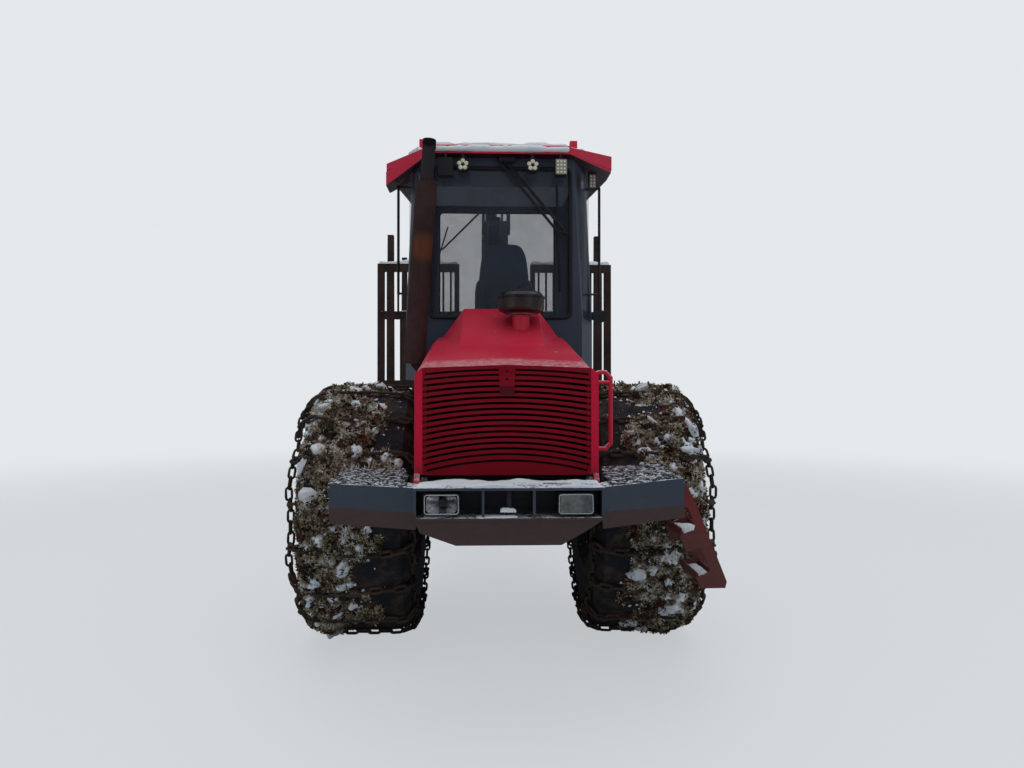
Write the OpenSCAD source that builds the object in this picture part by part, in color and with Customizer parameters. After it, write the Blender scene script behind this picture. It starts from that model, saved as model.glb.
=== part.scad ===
// Forestry forwarder with a loading crane, hinged in the middle, on six wheels
// All sizes are in millimetres. X runs to the machine's left, Y rearward, Z up.
// Lengths along the machine are written from the front axle, + towards the back.

/* [Front wheels] */
// Radius of the front wheel out to the chain's lugs
front_r = 820; // [780:1:860]
// Height of the chain's lugs above the tyre
chain_rise = 30; // [18:1:36]
// Width of the front tyre
front_tyre_w = 660; // [520:5:680]
// Place of the front tyre's middle from the machine's middle plane
front_track = 875; // [860:5:930]
// Radius of the front rim
front_rim_r = 335; // [280:5:380]
// Number of cross chains round a front wheel
chain_rows = 18; // [12:2:24]

/* [Rear wheels] */
// Radius of a rear wheel out to its lugs
rear_r = 620; // [560:1:635]
// Height of the rear tyre's lugs
rear_lug_h = 28; // [15:1:40]
// Width of a rear tyre
rear_tyre_w = 600; // [480:5:620]
// Place of the rear tyre's middle from the machine's middle plane
rear_track = 925; // [910:5:980]
// Radius of a rear rim
rear_rim_r = 285; // [240:5:330]
// Number of lugs on each half of a rear tyre
rear_lugs = 20; // [14:1:26]
// Distance between the two wheels of a bogie
bogie_pitch = 1300; // [1280:5:1400]

/* [Layout along the machine] */
// Back of the front axle to the steering pivot
pivot_y = 1750; // [1700:5:1850]
// Front axle to the bogies' pivot
bogie_y = 4600; // [4400:10:4800]
// Front axle to the crane's slewing axis
crane_y = 2120; // [2110:5:2160]
// Front axle to the load gate
gate_y = 2750; // [2720:5:2780]
// Front axle to the back end of the rear frame
tail_y = 6400; // [6250:10:6600]
// Front axle to the bumper's front face
bumper_y = -1800; // [-1850:5:-1760]

/* [Frames] */
// Half width of the front frame
frame_half = 260; // [220:5:300]
// Half width of the front frame's narrow rear part
frame_neck_half = 200; // [160:5:210]
// Thickness of the frames' plates
frame_plate = 25; // [12:1:40]
// Top of the front frame
frame_top = 1060; // [1020:5:1100]
// Bottom of the front frame
frame_low = 620; // [560:5:680]
// Height of the roll axis above the floor
roll_z = 850; // [830:5:870]
// Radius of the steering pin
pivot_pin_r = 50; // [35:1:60]
// Radius of the roll shaft
roll_r = 110; // [80:1:130]
// Half distance between the rear frame's beams
beam_half = 270; // [230:5:300]
// Width of each beam of the rear frame
beam_w = 110; // [80:5:140]
// Bottom of the rear frame's beams
beam_low = 1000; // [960:5:1020]
// Top of the rear frame's beams
beam_top = 1220; // [1180:5:1260]

/* [Hood] */
// Half width of the hood at its sides
hood_half = 460; // [430:5:470]
// Front face of the grille
hood_front = -1450; // [-1480:5:-1420]
// Back face of the hood
hood_back = 0; // [-30:5:30]
// Bottom edge of the hood
hood_low = 1190; // [1180:5:1230]
// Top of the hood's front
hood_top = 1720; // [1650:5:1760]
// Top of the hood's shoulders at its back
hood_rise = 1968; // [1900:5:1990]
// Thickness of the hood's panels
hood_wall = 28; // [15:1:40]
// Height of the hump's top at the hood's back
hump_top = 2160; // [2080:5:2170]
// Distance between the grille's slots
slot_pitch = 30; // [26:1:36]
// Height of a grille slot
slot_h = 12; // [8:1:16]

/* [Cab] */
// Plane of the windscreen
cab_front = 100; // [80:5:140]
// Back face of the cab
cab_back = 1450; // [1400:5:1480]
// Half width of the cab's front at the sill
cab_front_half = 570; // [540:5:600]
// Half width of the cab at its sides
cab_half = 690; // [660:5:720]
// Place where the slanted front side windows meet the sides
cab_corner = 450; // [400:5:480]
// Underside of the cab's floor
cab_low = 1680; // [1665:5:1700]
// Top of the cab's walls
cab_top = 3220; // [3180:5:3240]
// Thickness of the cab's walls
cab_wall = 50; // [40:1:60]
// Sill of the windscreen
screen_low = 2110; // [2060:5:2160]
// Thickness of the glass
glass_t = 6; // [4:1:10]
// Bottom of the door
door_low = 1760; // [1740:5:1800]

/* [Load space] */
// Half width of the load gate
gate_half = 1215; // [1150:5:1250]
// Bottom bar of the gate
gate_low = 1660; // [1620:5:1700]
// Top of the gate
gate_top = 2909; // [2850:5:2930]
// Top of the stakes
stake_top = 3280; // [3100:5:3290]
// Half distance between a bunk's stakes
stake_half = 1125; // [1050:5:1200]

/* [Crane] */
// Height of the main boom's pivot
boom_z = 3420; // [3400:5:3450]
// Length of the main boom between its pivots
boom_len = 2600; // [2500:10:2700]
// Elevation of the main boom as it stands
boom_rest = 15; // [12:1:18]
// Length of the jib from its pivot to its front end
jib_len = 1950; // [1900:10:2000]
// Length of the extension that shows beyond the jib
tip_out = 350; // [340:5:360]
// Elevation of the jib as it stands
jib_rest = 12; // [10:1:14]
// Width of the main boom's box
boom_w = 180; // [160:5:200]
// Height of the main boom's box
boom_h = 210; // [190:5:230]
// Width of the jib's box
jib_w = 130; // [120:5:150]
// Height of the jib's box
jib_h = 170; // [150:5:190]

/* [Fits] */
// Radial clearance of a shaft in its bore
run_gap = 0.05; // [0.02:0.01:0.1]
// Gap beside a part that turns on a pin
side_gap = 6; // [5:0.5:10]
// Gap between pieces that seat on each other
seat_gap = 0.3; // [0.1:0.1:0.5]

/* [Hidden] */
$fn = 48;

navy = "#26303c";
red = "#a8261c";
rust = "#5b3a2a";
steel = "#8c8f92";
black = "#1c1c1e";
rubber = "#26241f";
grey = "#7f8a93";

// Middle of the whole machine's length, from the front axle
mid_y = 2681.5;

// Height of a chord's middle above the centre, for a circle of radius r and half chord c
function chord_height(r, c) = sqrt(r * r - c * c);

link_half = 35;
front_axle_z = chord_height(front_r, link_half);
front_tyre_r = front_r - chain_rise;
rear_axle_z = rear_r;
bogie_z = rear_axle_z + 110;

// Wheel hubs: end of the axle's housing, end of its spindle, spindle radius
front_hub = [750, 925, 80];
rear_hub = [600, 965, 70];

// Steering clevis
clevis_t = 60;
clevis_r = 130;
clevis_z = [roll_z + 160, roll_z - 160 - clevis_t];
neck_end = 1480;

// Steering cylinders: foot on the front frame and eye on the centre joint
steer_foot = [330, 1000];
steer_eye = [255, 1830];
steer_barrel_r = 42;
steer_rod_r = 22;
steer_pin_r = 20;

// Hood hinge
hood_hinge = [-1425, 1150];
hood_hinge_x = 410;

// Placement of the whole machine in its own frame
module placed() { translate([0, -mid_y, 0]) children(); }

// Both sides of the middle plane
module both_sides() {
    children();
    mirror([1, 0, 0]) children();
}

// Side outline in Y and Z, extruded across from x0 to x1
module across(x0, x1) {
    translate([x0, 0, 0]) rotate([90, 0, 90]) linear_extrude(x1 - x0) children();
}

// Front outline in X and Z, extruded rearward from y0 to y1
module along(y0, y1) {
    translate([0, y1, 0]) rotate([90, 0, 0]) linear_extrude(y1 - y0) children();
}

// Plan outline in X and Y, extruded up from z0 to z1
module up(z0, z1) { translate([0, 0, z0]) linear_extrude(z1 - z0) children(); }

// Cylinder along X
module x_rod(x0, x1, r, y = 0, z = 0) {
    translate([min(x0, x1), y, z]) rotate([0, 90, 0]) cylinder(h = abs(x1 - x0), r = r);
}

// Cylinder along Y
module y_rod(y0, y1, r, x = 0, z = 0) {
    translate([x, y1, z]) rotate([90, 0, 0]) cylinder(h = y1 - y0, r = r);
}

// Cylinder along Z
module z_rod(z0, z1, r, x = 0, y = 0) { translate([x, y, z0]) cylinder(h = z1 - z0, r = r); }

// Block between two corners
module block(low, high) { translate(low) cube(high - low); }

// Outline with round corners, its middle at the origin
module rounded(w, h, r) {
    square([w, h - 2 * r], center = true);
    square([w - 2 * r, h], center = true);
    for (x = [-1, 1], y = [-1, 1]) translate([x * (w / 2 - r), y * (h / 2 - r)]) circle(r);
}

// Outline round two points, a round eye at each and a slightly narrower waist between
waist = 0.97;
module link_outline(a, b, r) {
    v = b - a;
    translate(a) circle(r);
    translate(b) circle(r);
    translate(a) rotate(atan2(v[1], v[0])) translate([0, -r * waist]) square([norm(v), 2 * r * waist]);
}

// Round bar between two points
module bar(a, b, r) {
    v = b - a;
    flat = norm([v[0], v[1]]);
    translate(a) rotate([0, atan2(flat, v[2]), atan2(v[1], v[0])]) cylinder(h = norm(v), r = r);
}

// FRONT BODY

module front_frame() {
    color(navy) {
        difference() {
            across(-frame_half, frame_half) polygon([
                [-1380, 900], [-1380, frame_top], [900, frame_top], [900, frame_low], [-250, frame_low], [-900, 745],
            ]);
            across(frame_plate - frame_half, frame_half - frame_plate) polygon([
                [-1355, 915], [-1355, frame_top + 5], [905, frame_top + 5],
                [905, frame_low + frame_plate], [-248, frame_low + frame_plate], [-897, 745 + frame_plate],
            ]);
            x_rod(-frame_half - 5, frame_half + 5, axle_tube_r + seat_gap, 0, front_axle_z);
        }
        difference() {
            block([-frame_neck_half, 900, frame_low], [frame_neck_half, neck_end, frame_top]);
            block([frame_plate - frame_neck_half, 895, frame_low + frame_plate],
                  [frame_neck_half - frame_plate, neck_end - frame_plate, frame_top + 5]);
        }
        for (z = clevis_z) difference() {
            up(z, z + clevis_t) {
                polygon([[-frame_neck_half, neck_end - 20], [frame_neck_half, neck_end - 20],
                         [clevis_r, pivot_y], [-clevis_r, pivot_y]]);
                translate([0, pivot_y]) circle(clevis_r);
            }
            z_rod(z - 5, z + clevis_t + 5, pivot_pin_r + run_gap, 0, pivot_y);
        }
        both_sides() {
            for (z = [roll_z - 75, roll_z + 50]) up(z, z + 25) {
                translate([frame_neck_half - 5, steer_foot[1] - 55])
                    square([steer_foot[0] - frame_neck_half + 5, 110]);
                translate(steer_foot) circle(55);
            }
            z_rod(roll_z - 60, roll_z + 60, steer_pin_r, steer_foot[0], steer_foot[1]);
            for (y = cab_mounts) {
                block([frame_neck_half - 30, y - 60, frame_top - 40], [mount_x + 60, y + 60, frame_top]);
                z_rod(frame_top - 5, cab_well_low, 50, mount_x, y);
            }
            hood_ear();
            for (y = box_arms) block([frame_neck_half - 5, y, frame_top - 50],
                [side_box_in - seat_gap, y + 50, frame_top - 5]);
        }
    }
}
box_arms = [1060, 1330];
side_box_in = 420;
side_box_out = 920;
side_box_y = [960, 1430];

// Tank and battery box behind the front wheels, each with a step in its top
module side_boxes() {
    color(navy) both_sides() difference() {
        along(side_box_y[0], side_box_y[1]) polygon([
            [side_box_in, 900], [side_box_in + 40, 860], [side_box_out - 60, 860], [side_box_out, 930],
            [side_box_out, 1090],
            [side_box_out - 160, 1100], [side_box_out - 160, 1330], [side_box_in, 1330],
        ]);
        // Toe recess of the lower step
        block([side_box_out - 90, side_box_y[0] + 70, 940], [side_box_out + 5, side_box_y[1] - 70, 1040]);
    }
    color(navy) z_rod(1325, 1355, 45, side_box_in + 120, side_box_y[0] + 90);
}
cab_mounts = [300, 1250];
mount_x = 330;
cab_well_low = 1360;
axle_tube_r = 95;
hood_pin_r = 14;

// Ear that carries the hood's hinge pin
module hood_ear() {
    difference() {
        union() {
            across(hood_hinge_x - 15, hood_hinge_x + 15) link_outline([-1375, 1030], hood_hinge, 30);
            block([frame_half - 5, -1380, frame_top - 60], [hood_hinge_x, -1345, frame_top]);
        }
        x_rod(hood_hinge_x - 20, hood_hinge_x + 20, hood_pin_r + run_gap, hood_hinge[0], hood_hinge[1]);
    }
}

module engine_block() {
    color(grey) block([frame_plate + seat_gap - frame_half, -1200, 880],
        [frame_half - frame_plate - seat_gap, -150, 1640]);
}

module front_axle() {
    color(navy) {
        x_rod(-front_hub[0], front_hub[0], axle_tube_r, 0, front_axle_z);
        for (side = [-1, 1]) {
            x_rod(side * (frame_half + seat_gap), side * (frame_half + 60), 150, 0, front_axle_z);
            x_rod(side * 560, side * front_hub[0], 150, 0, front_axle_z);
            x_rod(side * (front_hub[0] - 5), side * front_hub[1], front_hub[2], 0, front_axle_z);
        }
    }
}

// Lamp box, skirt, two stepped wings and the arms that carry them
lamp_box = [430, 1024, 1171];
lamp_box_depth = 130;
box_wall = 12;
wing_top = 1165;
wing_bend = 2.5;

module bumper() {
    color(navy) {
        difference() {
            block([-lamp_box[0], bumper_y, lamp_box[1]],
                [lamp_box[0], bumper_y + lamp_box_depth + box_wall, lamp_box[2]]);
            // Open recesses: left end, right end
            for (cell = [[-lamp_box[0] + box_wall, -124], [-112, 106], [118, lamp_box[0] - box_wall]])
                block([cell[0], bumper_y - 5, lamp_box[1] + box_wall],
                      [cell[1], bumper_y + lamp_box_depth, lamp_box[2] - box_wall]);
        }
        along(bumper_y + 6, bumper_y + 18) polygon([
            [-400, 970], [-240, 913], [235, 913], [355, 980], [lamp_box[0], lamp_box[1] + 5],
            [-lamp_box[0], lamp_box[1] + 5],
        ]);
        both_sides() {
            block([190, bumper_y + lamp_box_depth, 930], [215, -1385, lamp_box[1] + 20]);
            block([190, -1410, 930], [frame_half, -1380 - seat_gap, 1050]);
        }
        z_rod(lamp_box[1] + 5, lamp_box[2] - 5, tow_pin_r, 0, bumper_y + 45);
        for (y = [ladder_y - side_gap - 14, ladder_y + ladder_w + side_gap]) along(y, y + 14)
            link_outline([864, 1158], ladder_top, 15);
        y_rod(ladder_y - side_gap - 1, ladder_y + ladder_w + side_gap + 1, ladder_pin_r, ladder_top[0],
            ladder_top[1]);
        mirror([1, 0, 0]) wing();
        translate([lamp_box[0], 0, wing_top]) rotate([0, -wing_bend, 0])
            translate([-lamp_box[0], 0, -wing_top]) wing();
    }
}
tow_pin_r = 15;
wing_front = [[lamp_box[0] - 6, bumper_y + 60], [850, -1560]];
wing_back = -880;

// One wing, as on the +X side
module wing() {
    n = wing_front;
    up(wing_top - 190, wing_top - 5) polygon([n[0], n[1], n[1] + [0, 14], n[0] + [0, 14]]);
    difference() {
        up(wing_top - 22, wing_top)
            polygon([n[0], n[1], [870, wing_back], [560, wing_back], [500, -1330], [500, -1520],
                [lamp_box[0] - 6, -1590]]);
        for (y = [-1420 : 90 : -960]) up(wing_top - 30, wing_top + 5) translate([700, y])
            square([250, 50], center = true);
    }
    up(wing_top - 60, wing_top - 21) {
        polygon([[480, -1480], [840, -1480], [840, -1440], [480, -1440]]);
        polygon([[540, -1000], [840, -1000], [840, -960], [540, -960]]);
        polygon([[840, -1560], [856, -1560], [872, wing_back], [856, wing_back]]);
    }
}

// Lamps: headlamps in the bumper, and the work lamps under the roof's front edge
module lamps() {
    color(steel) {
        // Bowl of each headlamp: place across
        for (x = headlamps) translate([x, 0, headlamp_z]) difference() {
            along(bumper_y + 12, bumper_y + 100) rounded(165, 100, 12);
            along(bumper_y + 5, bumper_y + 60) rounded(145, 82, 8);
        }
        // Headlamp seats that hold the bowls to the box's back
        for (x = headlamps) y_rod(bumper_y + 95, bumper_y + lamp_box_depth - seat_gap, 20, x, headlamp_z);
    }
    color(black) {
        // Work lamps: x, z, half width, half height, round
        for (l = work_lamps) translate([l[0], 0, l[1]]) {
            along(lamp_y, lamp_y + 70) if (l[4] == 1) circle(l[2]); else rounded(2 * l[2], 2 * l[3], 6);
            translate([0, lamp_y + 45, 0]) block([-8, -8, 0], [8, 8, cab_top - l[1]]);
        }
    }
}
headlamps = [-305, 302];
headlamp_z = 1097;
lamp_y = -60;
work_lamps = [
    [-257, 3130, 45, 45, 1], [216, 3130, 45, 45, 1], [410, 3120, 40, 54, 0],
    [-375, 3115, 50, 60, 0],
];

// Cab's plan outline, drawn in by d; its sides come in by lean and its front corners by nip
function cab_plan(d, lean = 0, nip = 0) = let (
    f = cab_front + d,
    b = cab_back - d,
    h = cab_half - d - lean,
    g = cab_front_half - d * 0.75 - nip,
    c = cab_corner + d * 0.35
) [
    [-g, f], [g, f], [h, c], [h, b], [-h, b], [-h, c],
];
cab_lean = 50;
cab_nip = 60;
cab_bend = 2100;

// Space inside the cab's faces, drawn in by d, from z0 up to the walls' top and e more
module cab_space(d, z0, e = 0) {
    up(z0, cab_bend) polygon(cab_plan(d));
    hull() {
        up(cab_bend - 1, cab_bend) polygon(cab_plan(d));
        up(cab_top + e - 1, cab_top + e) polygon(cab_plan(d, cab_lean, cab_nip));
    }
}

// Half width of the cab's sides at height z
function side_at(z) = cab_half - cab_lean * max(0, z - cab_bend) / (cab_top - cab_bend);

module cab_shell() {
    color(navy) difference() {
        union() {
            cab_space(0, cab_low);
            block([-mount_x - 80, cab_front + 90, cab_well_low],
                [mount_x + 80, cab_back - 40, cab_low + 10]);
        }
        cab_space(cab_wall, cab_low + cab_wall, 1);
        block([-mount_x - 40, cab_front + 130, cab_well_low + 40],
            [mount_x + 40, well_back, cab_low + cab_wall + 10]);
        // Windscreen
        along(cab_front - 20, cab_front + cab_wall + 20) translate([0, (screen_low + screen_top) / 2])
            rounded(2 * screen_half, screen_top - screen_low, 40);
        // Rear window
        along(cab_back - cab_wall - 20, cab_back + 20) translate([0, (rear_low + screen_top) / 2])
            rounded(2 * rear_half, screen_top - rear_low, 40);
        // Slanted front side windows
        both_sides() slanted() along(-cab_wall - 30, 30)
            translate([slant_len / 2, (screen_low + screen_top) / 2])
            rounded(slant_len - 90, screen_top - screen_low, 30);
        // Right side window
        across(-cab_half - 20, -cab_half + cab_wall + 90) side_window(0);
        // Door opening on the left
        across(cab_half - cab_wall - 90, cab_half + 20) door_outline(0);
    }
    color(navy) for (z = hinge_zs) {
        for (e = [-30, 14]) block([side_at(z) - 8, hinge_at[1] - 9, z + e],
            [hinge_at[0] + 9, hinge_at[1] + 9, z + e + 16]);
        z_rod(z - 28, z + 28, hinge_pin_r, hinge_at[0], hinge_at[1]);
    }
}
well_back = 640;
hinge_at = [714, 1402];
hinge_zs = [1900, 2850];
hinge_pin_r = 8;

// Outline of the door's opening in Y and Z, drawn in by d
module door_outline(d) {
    polygon([[door_y0 + d, door_low + d], [door_y1 - d, door_low + d], [door_y1 - d, door_top - d],
        [door_y0 + d, door_top - d]]);
}

// Outline of a side window in Y and Z, drawn in by d
module side_window(d) {
    translate([(door_y0 + door_y1) / 2, (side_low + screen_top) / 2])
        rounded(door_y1 - door_y0 - 130 - 2 * d, screen_top - side_low - 60 - 2 * d, 40);
}

// Sheet of glass in a side face, from x = side wall - deep inward
module side_pane(deep) {
    intersection() {
        across(cab_half - 150, cab_half + 10) side_window(0.5);
        difference() {
            cab_space(deep, 1900);
            cab_space(deep + glass_t, 1800, 1);
        }
    }
}
screen_top = 3150;
screen_half = 490;
rear_low = 2250;
rear_half = 505;
side_low = 2110;
door_y0 = 500;
door_y1 = 1390;
door_top = 3130;
slant_len = norm([cab_half - cab_front_half, cab_corner - cab_front]);
slant_turn = atan2(cab_corner - cab_front, cab_half - cab_front_half);

// Frame of a slanted front side face: X runs along the face from the front pillar
module slanted() {
    translate([cab_front_half, cab_front, 0]) rotate([0, 0, slant_turn]) children();
}

module cab_glass() {
    color("#9fb0b8") {
        along(cab_front + 15, cab_front + 15 + glass_t) translate([0, (screen_low + screen_top) / 2])
            rounded(2 * screen_half - 1, screen_top - screen_low - 1, 40);
        along(cab_back - 25, cab_back - 25 + glass_t) translate([0, (rear_low + screen_top) / 2])
            rounded(2 * rear_half - 1, screen_top - rear_low - 1, 40);
        mirror([1, 0, 0]) side_pane(22);
        both_sides() slanted() along(15, 15 + glass_t)
            translate([slant_len / 2, (screen_low + screen_top) / 2])
            rounded(slant_len - 91, screen_top - screen_low - 1, 30);
    }
}

// Roof plate with a raised crown, eaves at the corners, gussets under them and a bar across
roof_t = 50;
roof_plan = [[-478, -10], [478, -10], [830, 430], [830, 650], [740, 1500], [-740, 1500], [-830, 650],
    [-830, 430]];
// Underside of the eave's outer corner: hanging on the right, bent up on the left
eave_low = [3110, 3240];
bar_top = 3555;

module cab_roof() {
    color(red) {
        up(cab_top + seat_gap, cab_top + roof_t) polygon(roof_plan);
        hull() {
            up(cab_top + roof_t - 1, cab_top + roof_t) offset(delta = -40) polygon(roof_plan);
            up(cab_top + roof_t + 24, cab_top + roof_t + 25) offset(delta = -110) polygon(roof_plan);
        }
        for (side = [-1, 1]) mirror([side < 0 ? 1 : 0, 0, 0]) eave(eave_low[side < 0 ? 0 : 1]);
        along(740, 800) both_sides() {
            polygon([[560, cab_top + 40], [616, cab_top + 40], [616, bar_top], [560, bar_top]]);
            polygon([[-1, cab_top + 60], [570, cab_top + 60], [570, cab_top + 110], [-1, cab_top + 110]]);
        }
    }
}

// Outer corner of the roof: a wedge from the slab down or up to its tip, as on the +X side
module eave(low) {
    for (y = [[-10, 440], [430, 700]]) hull() {
        if (y[0] < 0) block([470, -10, cab_top + 4], [478, 0, cab_top + roof_t - 2]);
        block([654, 430, cab_top + 4], [660, y[1], cab_top + roof_t - 2]);
        block([822, 430, low], [834, 640, low + 100]);
    }
}

seat_x = 50;
module seat() {
    color(black) translate([seat_x, 0, 0]) {
        block([-200, 740, cab_low + cab_wall + seat_gap], [200, 1050, 1980]);
        block([-225, 620, 1975], [225, 1120, 2120]);
        along(1020, 1140) translate([0, 2460]) rounded(450, 700, 120);
    }
}

module console() {
    color(black) {
        block([-300, cab_front + 90 + seat_gap, cab_low + cab_wall + 30], [300, cab_front + 200, 2080]);
        block([-420, cab_front + cab_wall + 1, cab_low + cab_wall + seat_gap],
            [420, cab_front + 120, 2000]);
        for (x = [seat_x - 275, seat_x + 275]) {
            block([x - 40, 720, 1990], [x + 40, 1000, 2060]);
            block([x - 30, 840, cab_low + cab_wall + seat_gap], [x + 30, 900, 1995]);
            z_rod(2055, 2150, 14, x, 750);
        }
    }
}

module exhaust() {
    color(rust) {
        bar([-572, -170, 1780], [-493, -170, 2973], 70);
        // Tail pipe, open at its top
        difference() {
            bar([-493, -170, 2965], [-474, -170, 3258], 43);
            bar([-483, -170, 3120], [-473.7, -170, 3263], 38);
        }
        // Pipe from the cab's front out to the silencer's foot
        for (i = [0 : len(pipe) - 2]) bar(pipe[i], pipe[i + 1], 30);
        translate(pipe[1]) sphere(30.5);
    }
}
pipe = [[-530, cab_front - seat_gap, 1740], [-530, -170, 1740], [-572, -170, 1790]];

module cab_fittings() {
    color(black) both_sides() {
        for (z = rail_zs) bar([side_at(z) + 0.7, rail_at[1], z], [rail_at[0], rail_at[1], z], 8);
        bar([rail_at[0], rail_at[1], rail_zs[0] - 10], [rail_at[0], rail_at[1], rail_zs[1] + 10], 10);
    }
    // Round mirror below the left rail
    color(black) {
        z_rod(mirror_z + 30, rail_zs[0] - 5, 7, rail_at[0], rail_at[1]);
        y_rod(rail_at[1] - 18, rail_at[1] + 20, 50, rail_at[0], mirror_z);
    }
}
mirror_z = 2155;
rail_at = [748, 475];
rail_zs = [2320, 3110];

// HOOD, which tips forward

module hood_volume(d) {
    hull() {
        along(hood_front + hood_skin + d, hood_front + hood_skin + d + 1) hood_section(hood_top, d);
        along(hood_back - d - 1, hood_back - d) hood_section(hood_rise, d);
    }
}
hood_skin = 30;

module hood_section(z, d) {
    h = hood_half - d;
    polygon([[-h, hood_low - (d > 0 ? 10 : 0)], [h, hood_low - (d > 0 ? 10 : 0)], [h, z - 45 - d * 0.7],
             [h - 40, z - 5 - d], [0, z + 12 - d], [-h + 40, z - 5 - d], [-h, z - 45 - d * 0.7]]);
}

// Hump over the air pipe: half width and height at its front line, its foot and its ridge
module hood_hump(d) {
    hull() {
        block([-260 + d, -500 + 2 * d, 1850 - d], [260 - d, -499 + 2 * d, 1880 - d]);
        block([-400 + d, hood_back - d - 1, 1900], [400 - d, hood_back - d, 1955 - d]);
        block([-250 + d, hood_back - d - 1, 1900], [250 - d, hood_back - d, hump_top - d]);
    }
}

module hood() {
    color(red) {
        difference() {
            union() {
                hood_volume(0);
                hood_hump(0);
                z_rod(1930, intake_z, 55, intake_at[0], intake_at[1]);
            }
            hood_volume(hood_wall);
            // Opening behind the grille
            block([-radiator_half, hood_front + hood_skin - 1, hood_low - 5],
                  [radiator_half, hood_front + hood_skin + hood_wall + 1, hood_top - 60]);
        }
        both_sides() hood_lug();
        // Handrail at the left front corner
        for (i = [0 : len(handrail) - 2]) bar(handrail[i], handrail[i + 1], 11);
        for (i = [1 : len(handrail) - 2]) translate(handrail[i]) sphere(11.4);
        bar([hood_half - 10, -1350, 1650], [531, -1350, 1650], 9);
    }
}
handrail = [[hood_half - 10, -1350, 1312], [505, -1350, 1312], [531, -1350, 1340], [531, -1350, 1672],
    [505, -1350, 1700],
            [470, -1350, 1700], [hood_half - 18, -1350, 1690]];
radiator_half = 400;
intake_at = [127, -250];
intake_z = 2092;

// Lug under the hood's front corner, with the hinge pin
module hood_lug() {
    across(hood_half - hood_wall, hood_half) {
        translate(hood_hinge) circle(26);
        polygon([hood_hinge + [-26, 0], hood_hinge + [8, 50], hood_hinge + [85, 50],
            hood_hinge + [15, -22]]);
    }
    x_rod(hood_hinge_x - 16, hood_half - 2, hood_pin_r, hood_hinge[0], hood_hinge[1]);
}

slot_half = 415;
slot_count = 13;
slot_first = 1630;
module grille() {
    // Blank plate at the top, with its two holes
    color(red) difference() {
        block([-38, hood_front - 5, 1628], [38, hood_front + 2, 1711]);
        for (x = [-22, 22]) y_rod(hood_front - 6, hood_front - 1, 5, x, 1695);
    }
    color(red) difference() {
        along(hood_front, hood_front + hood_skin - seat_gap) polygon([
            [-455, 1250], [-400, hood_low], [400, hood_low], [455, 1250], [455, hood_top - 30],
            [420, hood_top],
            [0, hood_top + 15], [-420, hood_top], [-455, hood_top - 30],
        ]);
        for (i = [0 : slot_count - 1])
            grille_slot(slot_first - slot_pitch * i, slot_sag + slot_sag_step * i);
    }
}

// Slot whose ends lie at height z, sagging to the middle by s along a round bow
module grille_slot(z, s) {
    r = (slot_half * slot_half + s * s) / (2 * s);
    intersection() {
        block([-slot_half, hood_front - 5, hood_low - 190],
            [slot_half, hood_front + hood_skin + 5, hood_top + 80]);
        translate([0, 0, z + s - r]) difference() {
            y_rod(hood_front - 4, hood_front + hood_skin + 4, r + slot_h / 2);
            y_rod(hood_front - 5, hood_front + hood_skin + 5, r - slot_h / 2);
        }
    }
}
slot_sag = 28;
slot_sag_step = 2;

// Bowl on the intake neck: stepped bottom, straight wall, rim and domed lid with its knob
module precleaner() {
    color(black) translate([intake_at[0], intake_at[1], 0]) rotate_extrude() polygon([
        [0, intake_z + seat_gap], [62, intake_z + seat_gap], [66, 2099], [112, 2103], [126, 2114],
        [144, 2120],
        [150, 2134], [150, 2198], [155, 2200], [155, 2212], [148, 2216], [132, 2236], [95, 2252],
        [50, 2260],
        [24, 2262], [22, 2274], [16, 2278], [0, 2278],
    ]);
}

// DOOR on the left side, hinged at its rear edge

module door() {
    color(navy) {
        intersection() {
            difference() {
                across(cab_half - 160, cab_half + 20) door_outline(door_gap);
                across(cab_half - 170, cab_half + 30) side_window(0);
            }
            difference() {
                cab_space(-4, 1500);
                cab_space(cab_wall - 6, 1400, 1);
            }
        }
        for (z = hinge_zs) difference() {
            union() {
                z_rod(z - 13, z + 13, 15, hinge_at[0], hinge_at[1]);
                block([side_at(z) + 1, door_y1 - door_gap - 14, z - 13],
                    [hinge_at[0] + 3, hinge_at[1], z + 13]);
            }
            z_rod(z - 20, z + 20, hinge_pin_r + run_gap, hinge_at[0], hinge_at[1]);
        }
    }
}
door_gap = 6;

module door_glass() {
    color("#9fb0b8") side_pane(22);
}

// LADDER at the left wing's end

module ladder() {
    color(red) difference() {
        union() {
            for (y = [ladder_y, ladder_y + ladder_w - ladder_plate_t]) along(y, y + ladder_plate_t)
                translate(ladder_top) rotate(ladder_lean) ladder_stringer();
            for (s = ladder_steps) translate([ladder_top[0], 0, ladder_top[1]])
                ladder_step(s[0], s[1], s[2]);
            y_rod(ladder_y, ladder_y + ladder_w, 14, ladder_top[0], ladder_top[1]);
        }
        y_rod(ladder_y - 5, ladder_y + ladder_w + 5, ladder_pin_r + run_gap, ladder_top[0], ladder_top[1]);
    }
}

// Stringer hanging from its pin, open towards the wheel above each step
module ladder_stringer() {
    circle(18);
    difference() {
        polygon([[-14, 0], [16, 0], [25, -150], [25, -560], [5, -588], [-116, -541], [-116, -85],
            [-60, -60]]);
        polygon([[-120, -120], [-35, -115], [-22, -130], [-22, -232], [-35, -246], [-120, -246]]);
        polygon([[-120, -339], [-48, -339], [-35, -352], [-35, -466], [-48, -480], [-120, -480]]);
    }
}

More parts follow.
